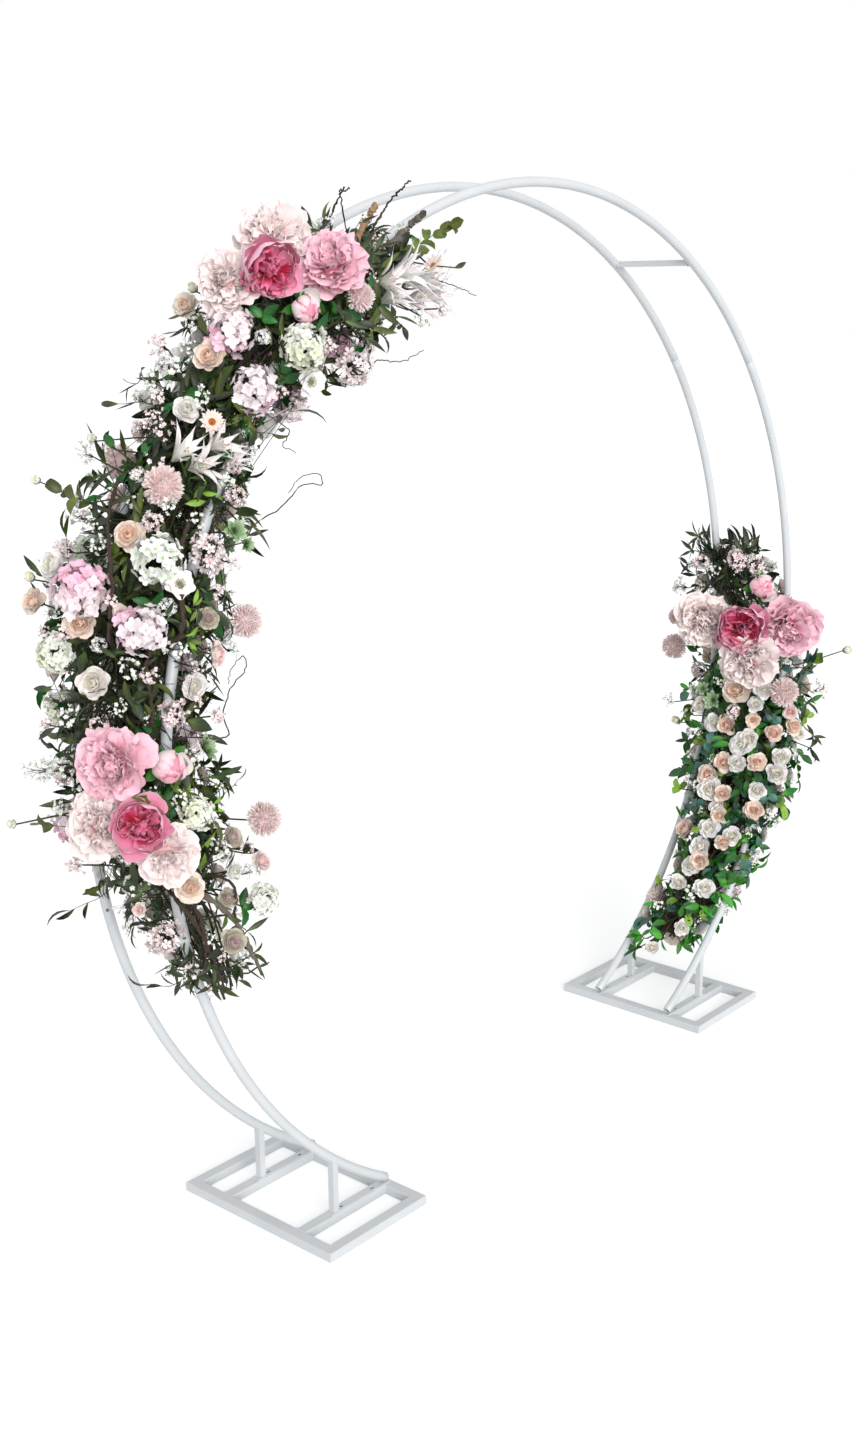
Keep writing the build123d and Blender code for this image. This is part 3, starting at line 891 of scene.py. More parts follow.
def leaf_set(outline, width, colour):
    """Four leaves of one kind with different bends. They grow along the second axis, tops along the third."""
    rib = tuple(np.array(colour) * 0.6 + np.array(leaf_lime) * 0.4)
    leaves = []
    for droop, fold in ((0.1, 0.3), (0.5, 0.35), (-0.3, 0.25), (0.8, 0.4)):
        heap = Heap()
        add_petal(heap, width, 1.0, 1.45 - droop * 0.3, 1.6 + droop, (rib, colour, colour), outline, 0.25,
                  fold=fold, dip=0.0, across=2, look=leaf_look)
        leaves.append(heap)
    return leaves


class Leaves:
    """Leaves that wait to be copied, so that those in front of a bloom can be left out."""

    def __init__(self, kinds, rng):
        self.kinds = kinds
        self.rng = rng
        self.rows = []

    def grow(self, kind, place, forward, top, size, tone):
        """Notes one leaf of a kind."""
        self.rows.append((kind, self.rng.integers(4), *place, *forward, *top, size, tone))

    def settle(self, heap, seats):
        """Copies the leaves into the heap, without those that would hide a bloom."""
        rows = np.array(self.rows)
        places = rows[:, 2:5]
        forward = rows[:, 5:8]
        size = rows[:, 11]
        ends = places + unit(forward) * size[:, None]
        free = np.all((ends > reach_low) & (ends < reach_high), axis=1)
        for share in (0.3, 0.65, 1.0):
            free &= clear_of(places + unit(forward) * (size * share)[:, None], seats)
        shades = self.rng.uniform(0.55, 1.35, len(rows))[:, None] * rows[:, 12:13]
        shades = shades * (1 + self.rng.normal(0, 0.06, (len(rows), 3)))
        frames = frames_growing(forward, rows[:, 8:11])
        for kind, shapes in enumerate(self.kinds):
            for form, shape in enumerate(shapes):
                pick = free & (rows[:, 0] == kind) & (rows[:, 1] == form)
                shape.copy_into(heap, places[pick], frames[pick], size[pick], shades[pick])


def clear_of(points, seats):
    """Which points hide no bloom, seen along the bloom's own way and from the front left."""
    free = np.ones(len(points), bool)
    for place, face, size in seats:
        away = points - place
        for way, width, depth in ((face, 0.85, 3.0), (unit(camera_place - place), 0.8, 8.0)):
            along = away @ way
            aside = np.linalg.norm(away - along[:, None] * way, axis=1)
            free &= ~((along > -0.5 * size) & (along < depth * size) & (aside < width * size))
    return free


def add_sprig(leaves, heap, path, out, kind, length, pitch, spread, tone, rng, start=0.25):
    """A thin stem along a path with leaves on both sides and one at its end."""
    add_tube(heap, path, np.linspace(*sprig_radii, len(path)), stem_green, bark_look, 3)
    steps = np.linalg.norm(np.diff(path, axis=0), axis=1)
    total = steps.sum()
    along = np.concatenate([[0], np.cumsum(steps)])
    for i, stop in enumerate(np.arange(start * total, total, pitch)):
        place = np.array([np.interp(stop, along, column) for column in path.T])
        ahead = np.array([np.interp(min(stop + 0.01, total), along, column) for column in path.T])
        heading = unit(ahead - place + 1e-6)
        side = unit(np.cross(heading, out)) * (1 if i % 2 else -1)
        lean = spread + rng.normal(0, 0.25)
        forward = heading * np.cos(lean) + side * np.sin(lean) + out * rng.normal(0.05, 0.28)
        top = out + rng.normal(0, 0.35, 3)
        grown = length * rng.uniform(0.75, 1.15) * (0.72 + 0.28 * np.sin(np.pi * stop / total))
        leaves.grow(kind, place, forward, top, grown, tone)
    leaves.grow(kind, path[-1], unit(path[-1] - path[-2]), out + rng.normal(0, 0.3, 3), length, tone)


def dress(garland, leaves, heap, rng, number, choices, length, pitch, reach, ends, swing=0.5,
          turns=(-np.pi, np.pi)):
    """Fills a garland with leafy sprigs that grow from its middle towards its skin."""
    low = garland.start + 1.5 + ends[0]
    high = garland.end - 1.5 - ends[1]
    for i in range(number):
        angle = rng.uniform(low, high)
        turn = rng.uniform(*turns)
        sweep = rng.normal(0, 5.0)
        bend = rng.normal(0, swing)
        reached = rng.uniform(*reach)
        stops = np.clip((angle - sweep, angle - 0.2 * sweep, angle + sweep), low, high)
        root = garland.point(stops[0], turn - bend, 0.22 * reached)
        middle = garland.point(stops[1], turn - 0.2 * bend, 0.66 * reached)
        tip = garland.point(stops[2], turn + bend, reached)
        path = curve_through([root, middle, tip + rng.normal(0, 0.006, 3)], 7)
        out = garland.spread(tip)[2]
        kind, tone = choices[rng.integers(len(choices))]
        size = rng.uniform(length[0] / 1000, length[1] / 1000)
        add_sprig(leaves, heap, path, out, kind, size, pitch / 1000, rng.uniform(0.55, 0.95), tone, rng)


def add_tufts(garland, leaves, stems, rng, tufts):
    """Bunches of leaves that spread from points of the garland's skin, each bunch on a stalk."""
    for across, down, kind, length, number in tufts:
        place, face = garland.seat(across, down, 1)[:2]
        frame_here = frames_facing(face[None], rng.uniform(0, any_turn, 1))[0]
        tone = rng.uniform(0.6, 1.6)
        for i in range(number):
            turn = i * full_turn / number + rng.normal(0, 0.3)
            forward = frame_here @ (np.cos(turn), np.sin(turn), rng.uniform(0.0, 0.6))
            top = face + rng.normal(0, 0.4, 3)
            size = length / 1000 * rng.uniform(0.8, 1.15)
            leaves.grow(kind, place - 0.01 * face, forward, top, size, tone)
        add_stalk(garland, stems, place, face, 0.01, rng)


def add_core(garland, heap, rng, number, radius):
    """Brown branches that run the garland's length along the tubes and carry everything else."""
    bends = 26
    steps = 60
    angles = np.linspace(garland.start + 1, garland.end - 1, bends)
    for i in range(number):
        turn = i * full_turn / number + np.cumsum(rng.normal(0, 0.22, bends))
        share = np.clip(rng.uniform(0.12, 0.5) + np.cumsum(rng.normal(0, 0.05, bends)), 0.08, 0.62)
        path = garland.point(angles, turn, share) + rng.normal(0, 0.004, (bends, 3))
        path = curve_through(path, steps)
        radii = radius * rng.uniform(0.6, 1.2) * np.linspace(1.2, 0.6, steps)
        add_tube(heap, path, radii, stem_brown, bark_look, 7)


def add_stalk(garland, heap, place, face, size, rng):
    """The stem that carries a bloom from the garland's middle."""
    angle = np.clip(garland.spread(place)[0], garland.start + 3, garland.end - 3)
    root = garland.point(angle + rng.normal(0, 1.5), rng.uniform(-np.pi, np.pi), 0.12)
    neck = place - face * size * 0.5
    bend = (root + neck) / 2 + rng.normal(0, 0.012, 3)
    path = curve_through([root, bend, neck - face * size * 0.5, neck], 8)
    add_tube(heap, path, np.linspace(*stalk_radii, 8), stem_green, bark_look, 4)


def plant(shapes, seats, garland, heap, stems, rng):
    """Copies blooms of one kind to their seats, each with its stalk."""
    for i, (place, face, size) in enumerate(seats):
        face = unit(face + rng.normal(0, 0.12, 3))
        tone = rng.uniform(0.95, 1.04) * (1 + rng.normal(0, 0.012) * np.array((0, 1, 1.6)))
        frames = frames_facing(face[None], rng.uniform(0, any_turn, 1))
        shapes[i % len(shapes)].copy_into(heap, [place], frames, [size], [tone])
        add_stalk(garland, stems, place, face, size, rng)


def more_seats(garland, taken, rng, number, radii, turned, apart=0.95):
    """Seats picked by chance, clear of those already taken. Turned is how far they look to the camera."""
    seats = []
    places = np.array([seat[0] for seat in taken]).reshape(-1, 3)
    sizes = np.array([seat[2] for seat in taken])
    for attempt in range(number * 60):
        if len(seats) == number:
            break
        angle = rng.uniform(garland.start + 2, garland.end - 3)
        size = rng.uniform(*radii)
        place = garland.point(angle, rng.uniform(-np.pi, np.pi), 0.93)
        away = garland.spread(place)[2]
        toward_camera = unit(camera_place - place) @ away
        outside = np.any(place < reach_low + size) or np.any(place > reach_high - size)
        if outside or not turned[0] <= toward_camera <= turned[1]:
            continue
        if np.any(np.linalg.norm(places - place, axis=1) < apart * (size + sizes)):
            continue
        seats.append((place, unit(away + (0, 0, 0.15)), size))
        places = np.concatenate([places, [place]])
        sizes = np.append(sizes, size)
    return seats


def add_node(tree, kind, *values, out=0, **settings):
    """Adds a node, sets its own settings, fills sockets by name or order, and gives one of its outputs."""
    made = tree.nodes.new("ShaderNode" + kind)
    for name, value in [*settings.items(), *enumerate(values)]:
        if isinstance(name, str) and hasattr(made, name):
            setattr(made, name, value)
        elif isinstance(value, bpy.types.NodeSocket):
            tree.links.new(value, made.inputs[name])
        else:
            made.inputs[name].default_value = value
    return made.outputs[out]


class Look:
    """A material being put together from nodes."""

    def __init__(self, name):
        self.material = bpy.data.materials.new(name)
        self.material.use_nodes = True
        self.tree = self.material.node_tree
        self.shader = self.tree.nodes["Principled BSDF"]
        self.place = self.node("TexCoord", out="Object")

    def node(self, kind, *values, out=0, **settings):
        """Adds a node to the material and gives one of its outputs."""
        return add_node(self.tree, kind, *values, out=out, **settings)

    def tint(self):
        """The colour stored in the mesh."""
        return self.node("Attribute", attribute_name="tint", out="Color")

    def flow(self):
        """The place across and along its petal or leaf, stored in the mesh."""
        return self.node("Attribute", attribute_name="flow", out="Vector")

    def noise(self, vector, scale, detail=3.0, stretch=None):
        """A noise's value at a vector, which may be stretched by three factors first."""
        if stretch:
            vector = self.node("Mapping", Vector=vector, Scale=stretch, out="Vector")
        return self.node("TexNoise", Vector=vector, Scale=scale, Detail=detail, out="Fac")

    def ramp(self, value, low, high, low_colour, high_colour=(1, 1, 1)):
        """A change from one colour to another between two values."""
        changed = self.node("ValToRGB", value)
        stops = changed.node.color_ramp.elements
        for stop, position, colour in zip(stops, (low, high), (low_colour, high_colour)):
            stop.position = position
            stop.color = (*colour, 1)
        return changed

    def multiply(self, first, second):
        """One colour darkened by another."""
        mix = self.node("Mix", 1.0, out=2, data_type="RGBA", blend_type="MULTIPLY")
        self.tree.links.new(first, mix.node.inputs[6])
        self.tree.links.new(second, mix.node.inputs[7])
        return mix

    def finished(self, colour, height, strength, distance, **values):
        """The material, given its colour, its relief and plain values for the shader's own sockets."""
        relief = self.node("Bump", Strength=strength, Distance=distance, Height=height)
        self.tree.links.new(colour, self.shader.inputs["Base Color"])
        self.tree.links.new(relief, self.shader.inputs["Normal"])
        for name, value in values.items():
            self.shader.inputs[name.replace("_", " ")].default_value = value
        return self.material


def paint_material():
    """White satin powder coat with a fine orange peel."""
    look = Look("white_powder_coat")
    cloud = look.noise(look.place, 9.0, 4.0)
    tint = look.ramp(cloud, 0.3, 0.7, (0.62, 0.65, 0.675), (0.67, 0.695, 0.715))
    gloss = look.ramp(look.noise(look.place, 60.0), 0.3, 0.7, (0.34, 0.34, 0.34), (0.46, 0.46, 0.46))
    look.tree.links.new(gloss, look.shader.inputs["Roughness"])
    peel = look.noise(look.place, 900.0, 2.0)
    return look.finished(tint, peel, 0.12, 0.0003, Coat_Weight=0.15, Coat_Roughness=0.25)


def steel_material():
    """Dull dark steel for the screws."""
    look = Look("dark_screw_steel")
    grain = look.noise(look.place, 1400.0, 2.0)
    shade = look.ramp(grain, 0.3, 0.7, (0.1, 0.1, 0.11), (0.2, 0.2, 0.21))
    return look.finished(shade, grain, 0.2, 0.0002, Metallic=0.8, Roughness=0.45)


def petal_material():
    """Silk petals: the petal's own colour with fine veins from base to tip."""
    look = Look("silk_petals")
    veins = look.noise(look.flow(), 3.0, stretch=(7.0, 0.8, 1.0))
    shade = look.ramp(veins, 0.25, 0.75, (0.94, 0.91, 0.92))
    cloud = look.ramp(look.noise(look.place, 45.0), 0.3, 0.7, (0.97, 0.96, 0.96))
    tint = look.multiply(look.multiply(look.tint(), shade), cloud)
    look.shader.subsurface_method = "BURLEY"
    return look.finished(
        tint, veins, 0.25, 0.0006, Roughness=0.6, Sheen_Weight=0.25, Sheen_Roughness=0.5,
        Specular_IOR_Level=0.25, Subsurface_Weight=0.3, Subsurface_Radius=(1.0, 0.65, 0.65),
        Subsurface_Scale=0.003,
    )


def leaf_material():
    """Leaves with a pale midrib band that is also a painted highlight along the fold, side veins and a soft
    shine.
    """
    side_veins = 62.0
    look = Look("silk_leaves")
    across, along = look.node("SeparateXYZ", look.flow()).node.outputs[:2]
    side = look.node("Math", across, operation="ABSOLUTE")
    # A lighter band along the middle: the pale midrib and a painted highlight along the leaf's fold
    rib = look.ramp(side, 0.0, 0.16, (1, 1, 1), (0.72, 0.72, 0.72))
    slant = look.node("Math", side, 0.25, along, operation="MULTIPLY_ADD")
    wave = look.node("Math", look.node("Math", slant, side_veins, operation="MULTIPLY"), operation="SINE")
    veins = look.ramp(wave, 0.2, 1.0, (0.92, 0.92, 0.92))
    cloud = look.ramp(look.noise(look.place, 70.0), 0.3, 0.7, (0.72, 0.74, 0.7))
    shade = look.multiply(look.multiply(look.tint(), cloud), look.multiply(rib, veins))
    return look.finished(shade, wave, 0.2, 0.0004, Roughness=0.42, Specular_IOR_Level=0.45)


def bark_material():
    """Thin stems and twigs with a rough skin."""
    look = Look("stems_and_twigs")
    streaks = look.noise(look.place, 260.0, 4.0, (1.0, 1.0, 0.4))
    shade = look.multiply(look.tint(), look.ramp(streaks, 0.3, 0.75, (0.55, 0.52, 0.5)))
    return look.finished(shade, streaks, 0.5, 0.0008, Roughness=0.85)


def heart_material():
    """The dry, grainy hearts of the blooms."""
    look = Look("flower_hearts")
    grain = look.noise(look.place, 700.0, 2.0)
    shade = look.multiply(look.tint(), look.ramp(grain, 0.3, 0.7, (0.72, 0.7, 0.66)))
    return look.finished(shade, grain, 0.4, 0.0005, Roughness=0.9)


paint = paint_material()
looks = {
    petal_look: petal_material(),
    heart_look: heart_material(),
    leaf_look: leaf_material(),
    bark_look: bark_material(),
}


def build(name, heap, keep=(petal_look, heart_look, leaf_look, bark_look), material=None):
    """Makes a piece of the heap's faces that have the looks to keep."""
    points, faces, tints, flow, marks = heap.merged()
    kept = np.isin(marks, keep)
    marks = marks[kept]
    used, order = np.unique(faces[kept], return_inverse=True)
    present = sorted(set(marks.tolist()))
    mesh = bpy.data.meshes.new(name)
    mesh.vertices.add(len(used))
    mesh.vertices.foreach_set("co", points[used].astype(np.float32).ravel())
    mesh.loops.add(order.size)
    mesh.loops.foreach_set("vertex_index", order.astype(np.int32).ravel())
    mesh.polygons.add(len(marks))
    mesh.polygons.foreach_set("loop_start", np.arange(0, order.size, 4, dtype=np.int32))
    mesh.polygons.foreach_set("use_smooth", np.ones(len(marks), bool))
    mesh.polygons.foreach_set("material_index", np.searchsorted(present, marks).astype(np.int32))
    colour = mesh.attributes.new("tint", "FLOAT_COLOR", "POINT")
    solid = np.column_stack([tints[used], np.ones(len(used))])
    colour.data.foreach_set("color", solid.astype(np.float32).ravel())
    place = mesh.attributes.new("flow", "FLOAT_VECTOR", "POINT")
    place.data.foreach_set("vector", flow[used].astype(np.float32).ravel())
    mesh.update(calc_edges=True)
    mesh.validate()
    for look in present:
        mesh.materials.append(material or looks[look])
    piece = bpy.data.objects.new(name, mesh)
    bpy.context.scene.collection.objects.link(piece)
    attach(piece, "root")
    return piece


def make_hoop_section(node, start, end):
    """A smooth bent tube with an open bore and eased ends, in place of a CAD section with flat sides."""
    low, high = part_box(node)
    back = (low.y + high.y) / 2
    eased = np.linspace(start + end_ease_angle, end - end_ease_angle, 64)
    angles = np.concatenate([[start], eased, [end]])
    skin = np.full(len(angles), tube_radius)
    skin[[0, -1]] -= end_ease
    bore = tube_radius - tube_wall
    heap = Heap()
    add_ring_tube(heap, angles, skin, back)
    add_ring_tube(heap, angles[::-1], np.full(len(angles), bore), back)
    for angle in (start, end):
        add_ring_tube(heap, (angle, angle), (skin[0], bore), back)
    piece = build(node + "_tube", heap, material=paint)
    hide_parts(node)


def add_ring_tube(heap, angles, radii, back):
    """The skin of a bent tube through rings at these angles."""
    turn = np.linspace(0, full_turn, tube_sides, endpoint=False)
    points = [
        ring_point(angle, hoop_radius + radius * np.cos(turn), back + radius * np.sin(turn))
        for angle, radius in zip(angles, radii)
    ]
    heap.add(points, grid_faces(len(points), tube_sides, True))


def make_hoops():
    """All six hoop sections."""
    for row in ("front", "rear"):
        make_hoop_section(f"{row}_hoop_left_leg", 180 - joint_angle, 180 + hoop_end_angle)
        make_hoop_section(f"{row}_hoop_crown", joint_angle, 180 - joint_angle)
        make_hoop_section(f"{row}_hoop_right_leg", -hoop_end_angle, joint_angle)


def add_weld(heap, rng, corners):
    """A wavy bead of weld along a line of corners."""
    corners = np.array(corners, float)
    shares = np.linspace(0, 1, 10, endpoint=False)[:, None]
    runs = [first + (second - first) * shares for first, second in zip(corners, corners[1:])]
    path = np.concatenate(runs + [corners[-1:]])
    ripple = 1 + 0.22 * np.sin(np.arange(len(path)) * 2.1) + rng.normal(0, 0.06, len(path))
    add_tube(heap, path, weld_radius * ripple, (1, 1, 1), petal_look, 6)


def make_welds():
    """Weld beads round the posts' feet, at the crossbars' ends and where the struts meet the hoops."""
    rng = np.random.default_rng(weld_seed)
    heap = Heap()
    for side in ("left", "right"):
        for row in ("front", "rear"):
            low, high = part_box(f"{side}_{row}_post")
            square = [(low.x, low.y), (high.x, low.y), (high.x, high.y), (low.x, high.y), (low.x, low.y)]
            add_weld(heap, rng, [(x, y, low.z) for x, y in square])
            low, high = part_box(f"{side}_{row}_crossbar")
            foot = low.z + 2 * weld_radius
            over = ((low.y, foot), (low.y, high.z), (high.y, high.z), (high.y, foot))
            for x in (low.x, high.x):
                add_weld(heap, rng, [(x, y, z) for y, z in over])
        low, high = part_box(f"{side}_strut")
        square = [(low.x, low.z), (high.x, low.z), (high.x, high.z), (low.x, high.z), (low.x, low.z)]
        for y in (tube_radius - hoop_depth, hoop_depth - tube_radius):
            add_weld(heap, rng, [(x, y, z) for x, z in square])
    build("frame_welds", heap, material=paint)


def make_screws():
    """A pan-head screw on each hoop leg, facing forward and outward."""
    head = Heap()
    add_bead(head, (0, 0, 0), 1, (1, 1, 1), petal_look, 6, 12, 0.5)
    add_bead(head, (0, 0, 0.42), 0.45, (1, 1, 1), petal_look, 4, 6, 0.4)
    heap = Heap()
    for angle in (180 + screw_angle, -screw_angle):
        face = unit(0.6 * (ring_point(angle, 1, 0) - ring_point(angle, 0, 0)) - (0, 0.8, 0))
        for back in (-hoop_depth, hoop_depth):
            place = ring_point(angle, hoop_radius, back) + face * tube_radius
            head.copy_into(heap, [place], frames_facing(face[None], np.zeros(1)), [screw_radius])
    build("hoop_screws", heap, material=steel_material())


def paint_frame():
    """Gives every CAD node of the steel frame its paint."""
    for name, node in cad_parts.items():
        if "garland" not in name and "peonies" not in name:
            node.data.materials.clear()
            node.data.materials.append(paint)


def peony_seats(group):
    """Peony heads of a group as kind, place, way they face and radius."""
    seats = []
    for kind, angle, out, back, radius, rightward, upward in group:
        place = ring_point(angle, hoop_radius + out / 1000, back / 1000)
        away = unit(place - ring_point(angle, hoop_radius, 0))
        face = 0.3 * away + 0.9 * unit(camera_place - place) + rightward * camera_right + upward * camera_up
        seats.append((kind, place, unit(face), radius / 1000))
    return seats


def make_peonies(name, group, garland, seed):
    """A group of large peonies, each one its own shape."""
    rng = np.random.default_rng(seed)
    heap = Heap()
    stems = Heap()
    for kind, place, face, radius in peony_seats(group):
        maker, *settings = peony_kinds[kind]
        head = maker(rng, *settings)
        head.copy_into(heap, [place], frames_facing(face[None], rng.uniform(0, any_turn, 1)), [radius])
        add_stalk(garland, stems, place, face, radius, rng)
    piece = build(name + "_heads", heap, (petal_look, heart_look))
    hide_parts(name)
    build(name + "_sepals", heap, (leaf_look, bark_look))
    build(name + "_stalks", stems)


def seats_of(garland, pixels):
    """Seats for blooms listed by their pixels."""
    return [garland.seat(*pixel) for pixel in pixels]


def clear_seats(group):
    """Peony seats in the form that the leaves are checked against."""
    return [seat[1:] for seat in peony_seats(group)]


def twig_path(garland, pixels, rng, number=40):
    """A twig's line through pixels of the photograph, rooted in the garland."""
    points = [garland.seat(across, down, 1)[0] for across, down in pixels]
    root = garland.point(garland.spread(points[0])[0], 0.0, 0.1)
    path = curve_through([root] + points, number)
    return path + rng.normal(0, 0.0012, path.shape)


def plant_all(garland, kinds, shapes, taken, blooms, stems, rng):
    """Plants every listed kind of bloom, and more of it on the sides that the photograph doesn't show."""
    for (name, pixels, maker, settings, more, radii), forms in zip(kinds, shapes):
        seats = seats_of(garland, pixels)
        seats += more_seats(garland, taken + seats, rng, more, np.array(radii) / 1000, out_of_sight)
        plant(forms, seats, garland, blooms[name], stems, rng)
        taken += seats


def add_fillers(garland, taken, heap, stems, rng, number, shapes):
    """Small pale blooms wherever the larger ones leave room, on every side."""
    seats = more_seats(garland, taken, rng, number, filler_radii, anywhere, 0.85)
    plant(shapes, seats, garland, heap, stems, rng)


def build_garland(side, blooms, foliage, stems, parts):
    """Makes the pieces of a garland and hides the CAD nodes they stand for."""
    for name, heap in blooms.items():
        if name != "succulents":
            build(f"{side}_{name}", heap, (petal_look, heart_look))
        build(f"{side}_{name}_greens", heap, (leaf_look, bark_look))
    leaf_piece = build(f"{side}_leaves", foliage)
    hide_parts(*(f"{side}_garland_{part}" for part in parts))
    build(f"{side}_stems", stems)


def several(number, *settings):
    """The same settings for a number of blooms, which differ by chance."""
    return [settings] * number


def make_shapes(rng, maker, settings):
    """A bloom for each group of settings."""
    return [maker(rng, *group) for group in settings]


def enlarged(pixels, factor):
    """The same blooms made larger."""
    return [(across, down, radius * factor) for across, down, radius in pixels]


def grow_leaves(garland, stems, rng, taken, kinds, layers, tufts, sprigs=()):
    """A garland's leaves: layers of leafy sprigs, then bunches and sprigs placed by pixels."""
    leaves = Leaves([leaf_set(*kind) for kind in kinds], rng)
    for layer in layers:
        dress(garland, leaves, stems, rng, *layer)
    add_tufts(garland, leaves, stems, rng, tufts)
    for pixels, kind, length in sprigs:
        path = twig_path(garland, pixels, rng, 9)
        out = garland.spread(path[-1])[2]
        size = length / 1000
        add_sprig(leaves, stems, path, out, kind, size, 0.5 * size, 0.8, 1.0, rng, 0.5)
    foliage = Heap()
    leaves.settle(foliage, taken)
    return foliage


# Kinds of bloom: group, pixels, maker, its settings, how many more out of sight, their radii in millimetres
left_kinds = (
    ("hydrangeas", left_pink_hydrangeas, hydrangea, several(3, petal_white, soft_pink, cream), 7, (45, 58)),
    ("hydrangeas", left_white_hydrangeas, hydrangea, several(2, white, ivory, leaf_pale), 7, (36, 50)),
    ("mums", left_mums, mum, several(2), 6, (30, 38)),
    ("roses", left_peach_roses, rose, several(3, peach, deep_peach), 8, (26, 34)),
    ("roses", left_white_roses, rose, several(2, white, ivory), 12, (26, 34)),
    ("roses", left_blush_roses, rose, several(2, rose_blush, blush_fold, 4), 7, (22, 28)),
    ("roses", left_mauve_roses, rose, several(2, taupe, mauve, 4), 5, (20, 25)),
    ("small_blooms", left_anemones, anemone, several(1), 4, (28, 34)),
    ("small_blooms", left_daisies, daisy, several(1), 5, (22, 28)),
    ("small_blooms", left_stocks, stock, several(3, mauve_pale, mauve_fold), 9, (28, 42)),
    ("small_blooms", left_sprays, spray, ((white, leaf_pale), (mauve_pale, mauve)), 12, (20, 30)),
    ("small_blooms", left_buds, flower_bud, several(1), 6, (13, 16)),
    ("succulents", left_succulents, succulent, several(2), 3, (30, 38)),
)
right_kinds = (
    ("mums", right_mums, mum, several(1), 2, (32, 40)),
    ("roses", enlarged(right_peach_roses, 1.15), rose, several(3, peach, deep_peach, 4), 22, (26, 34)),
    ("roses", enlarged(right_white_roses, 1.25), rose, several(3, white, ivory, 4), 32, (24, 34)),
    ("roses", right_blush_roses, rose, several(1, rose_blush, blush_fold, 4), 5, (22, 28)),
    ("small_blooms", right_stocks, stock, several(2, mauve_pale, mauve_fold), 3, (26, 34)),
    ("small_blooms", right_sprays, spray, several(1, white, leaf_pale), 10, (18, 28)),
    ("small_blooms", right_buds, flower_bud, several(1), 8, (12, 17)),
    ("succulents", right_succulents, succulent, several(1), 2, (30, 34)),
)

# Kinds of leaf: outline, width for a length of one, and colour
left_leaves = (
    (willow_leaf, 0.23, leaf_dark), (willow_leaf, 0.27, leaf_olive), (broad_leaf, 0.52, leaf_deep),
    (broad_leaf, 0.44, leaf_dark), (broad_leaf, 0.3, leaf_lime), (coin_leaf, 0.7, leaf_olive),
)
right_leaves = (
    (willow_leaf, 0.25, leaf_dark), (broad_leaf, 0.5, leaf_deep), (coin_leaf, 0.86, leaf_blue),
    (broad_leaf, 0.4, leaf_fresh), (coin_leaf, 0.72, leaf_lime),
)

# Mixes of leaves: the kind and how light it is; the inner mixes are darker as painted shade inside the
# garland
left_inner_shaded_mix = ((3, 0.7), (3, 0.9), (2, 0.7), (0, 0.8))
left_mix = ((0, 1.0), (0, 1.4), (0, 0.8), (1, 0.9), (0, 1.1), (1, 0.7))
left_broad_mix = ((2, 1.0), (3, 1.2), (2, 1.3), (4, 1.0), (1, 1.1), (3, 1.5))
left_front_mix = ((0, 1.2), (3, 1.2), (0, 1.5), (2, 1.1), (1, 1.0))
# The right garland's inner mix is darker too, as painted shade in its core
right_inner_shaded_mix = ((1, 0.8), (1, 0.6), (2, 0.8), (0, 0.8))
right_mix = ((1, 1.1), (2, 1.1), (3, 1.1), (1, 1.4), (3, 0.9), (4, 1.0), (2, 0.9), (3, 1.3))
right_long_mix = ((0, 1.1), (0, 1.4), (1, 1.0), (3, 1.1))
right_top_mix = ((0, 0.8), (0, 1.0), (0, 0.6))

# Layers: number, mix, millimetres of leaf and spacing, reach of the tips, bare degrees, swing, and turns
left_layers = (
    (160, left_inner_shaded_mix, (50, 72), 17, (0.3, 0.62), (4, 16), 0.9),
    (290, left_mix, (46, 70), 13, (0.58, 0.92), (0, 12)),
    (110, left_mix, (50, 78), 14, (0.88, 1.02), (4, 12)),
    (44, left_mix, (36, 56), 15, (0.5, 1.02), (70, 1)),
    (120, left_broad_mix, (38, 60), 19, (0.62, 0.96), (0, 12)),
    (80, left_front_mix, (40, 60), 13, (0.88, 1.0), (8, 18), 0.3, (-2.3, -1.0)),
)
right_layers = (
    (110, right_inner_shaded_mix, (40, 56), 15, (0.3, 0.65), (4, 16), 0.9),
    (270, right_mix, (34, 52), 13, (0.62, 0.96), (0, 15)),
    (90, right_long_mix, (45, 66), 12.5, (0.66, 0.98), (0, 13)),
    (70, right_top_mix, (46, 70), 13.5, (0.5, 0.98), (46, -1)),
)

woods = {"dark": stem_brown, "pale": pale_wood, "grey": grey_wood, "curly": (0.35, 0.33, 0.3)}
peony_kinds = {
    "pale": (full_peony, blush, blush_fold, blush_heart, 1.0),
    "pink": (full_peony, pink_edge, pink_fold, pink_heart, 1.3),
    "hot": (bowl_peony,),
    "bud": (peony_bud,),
}


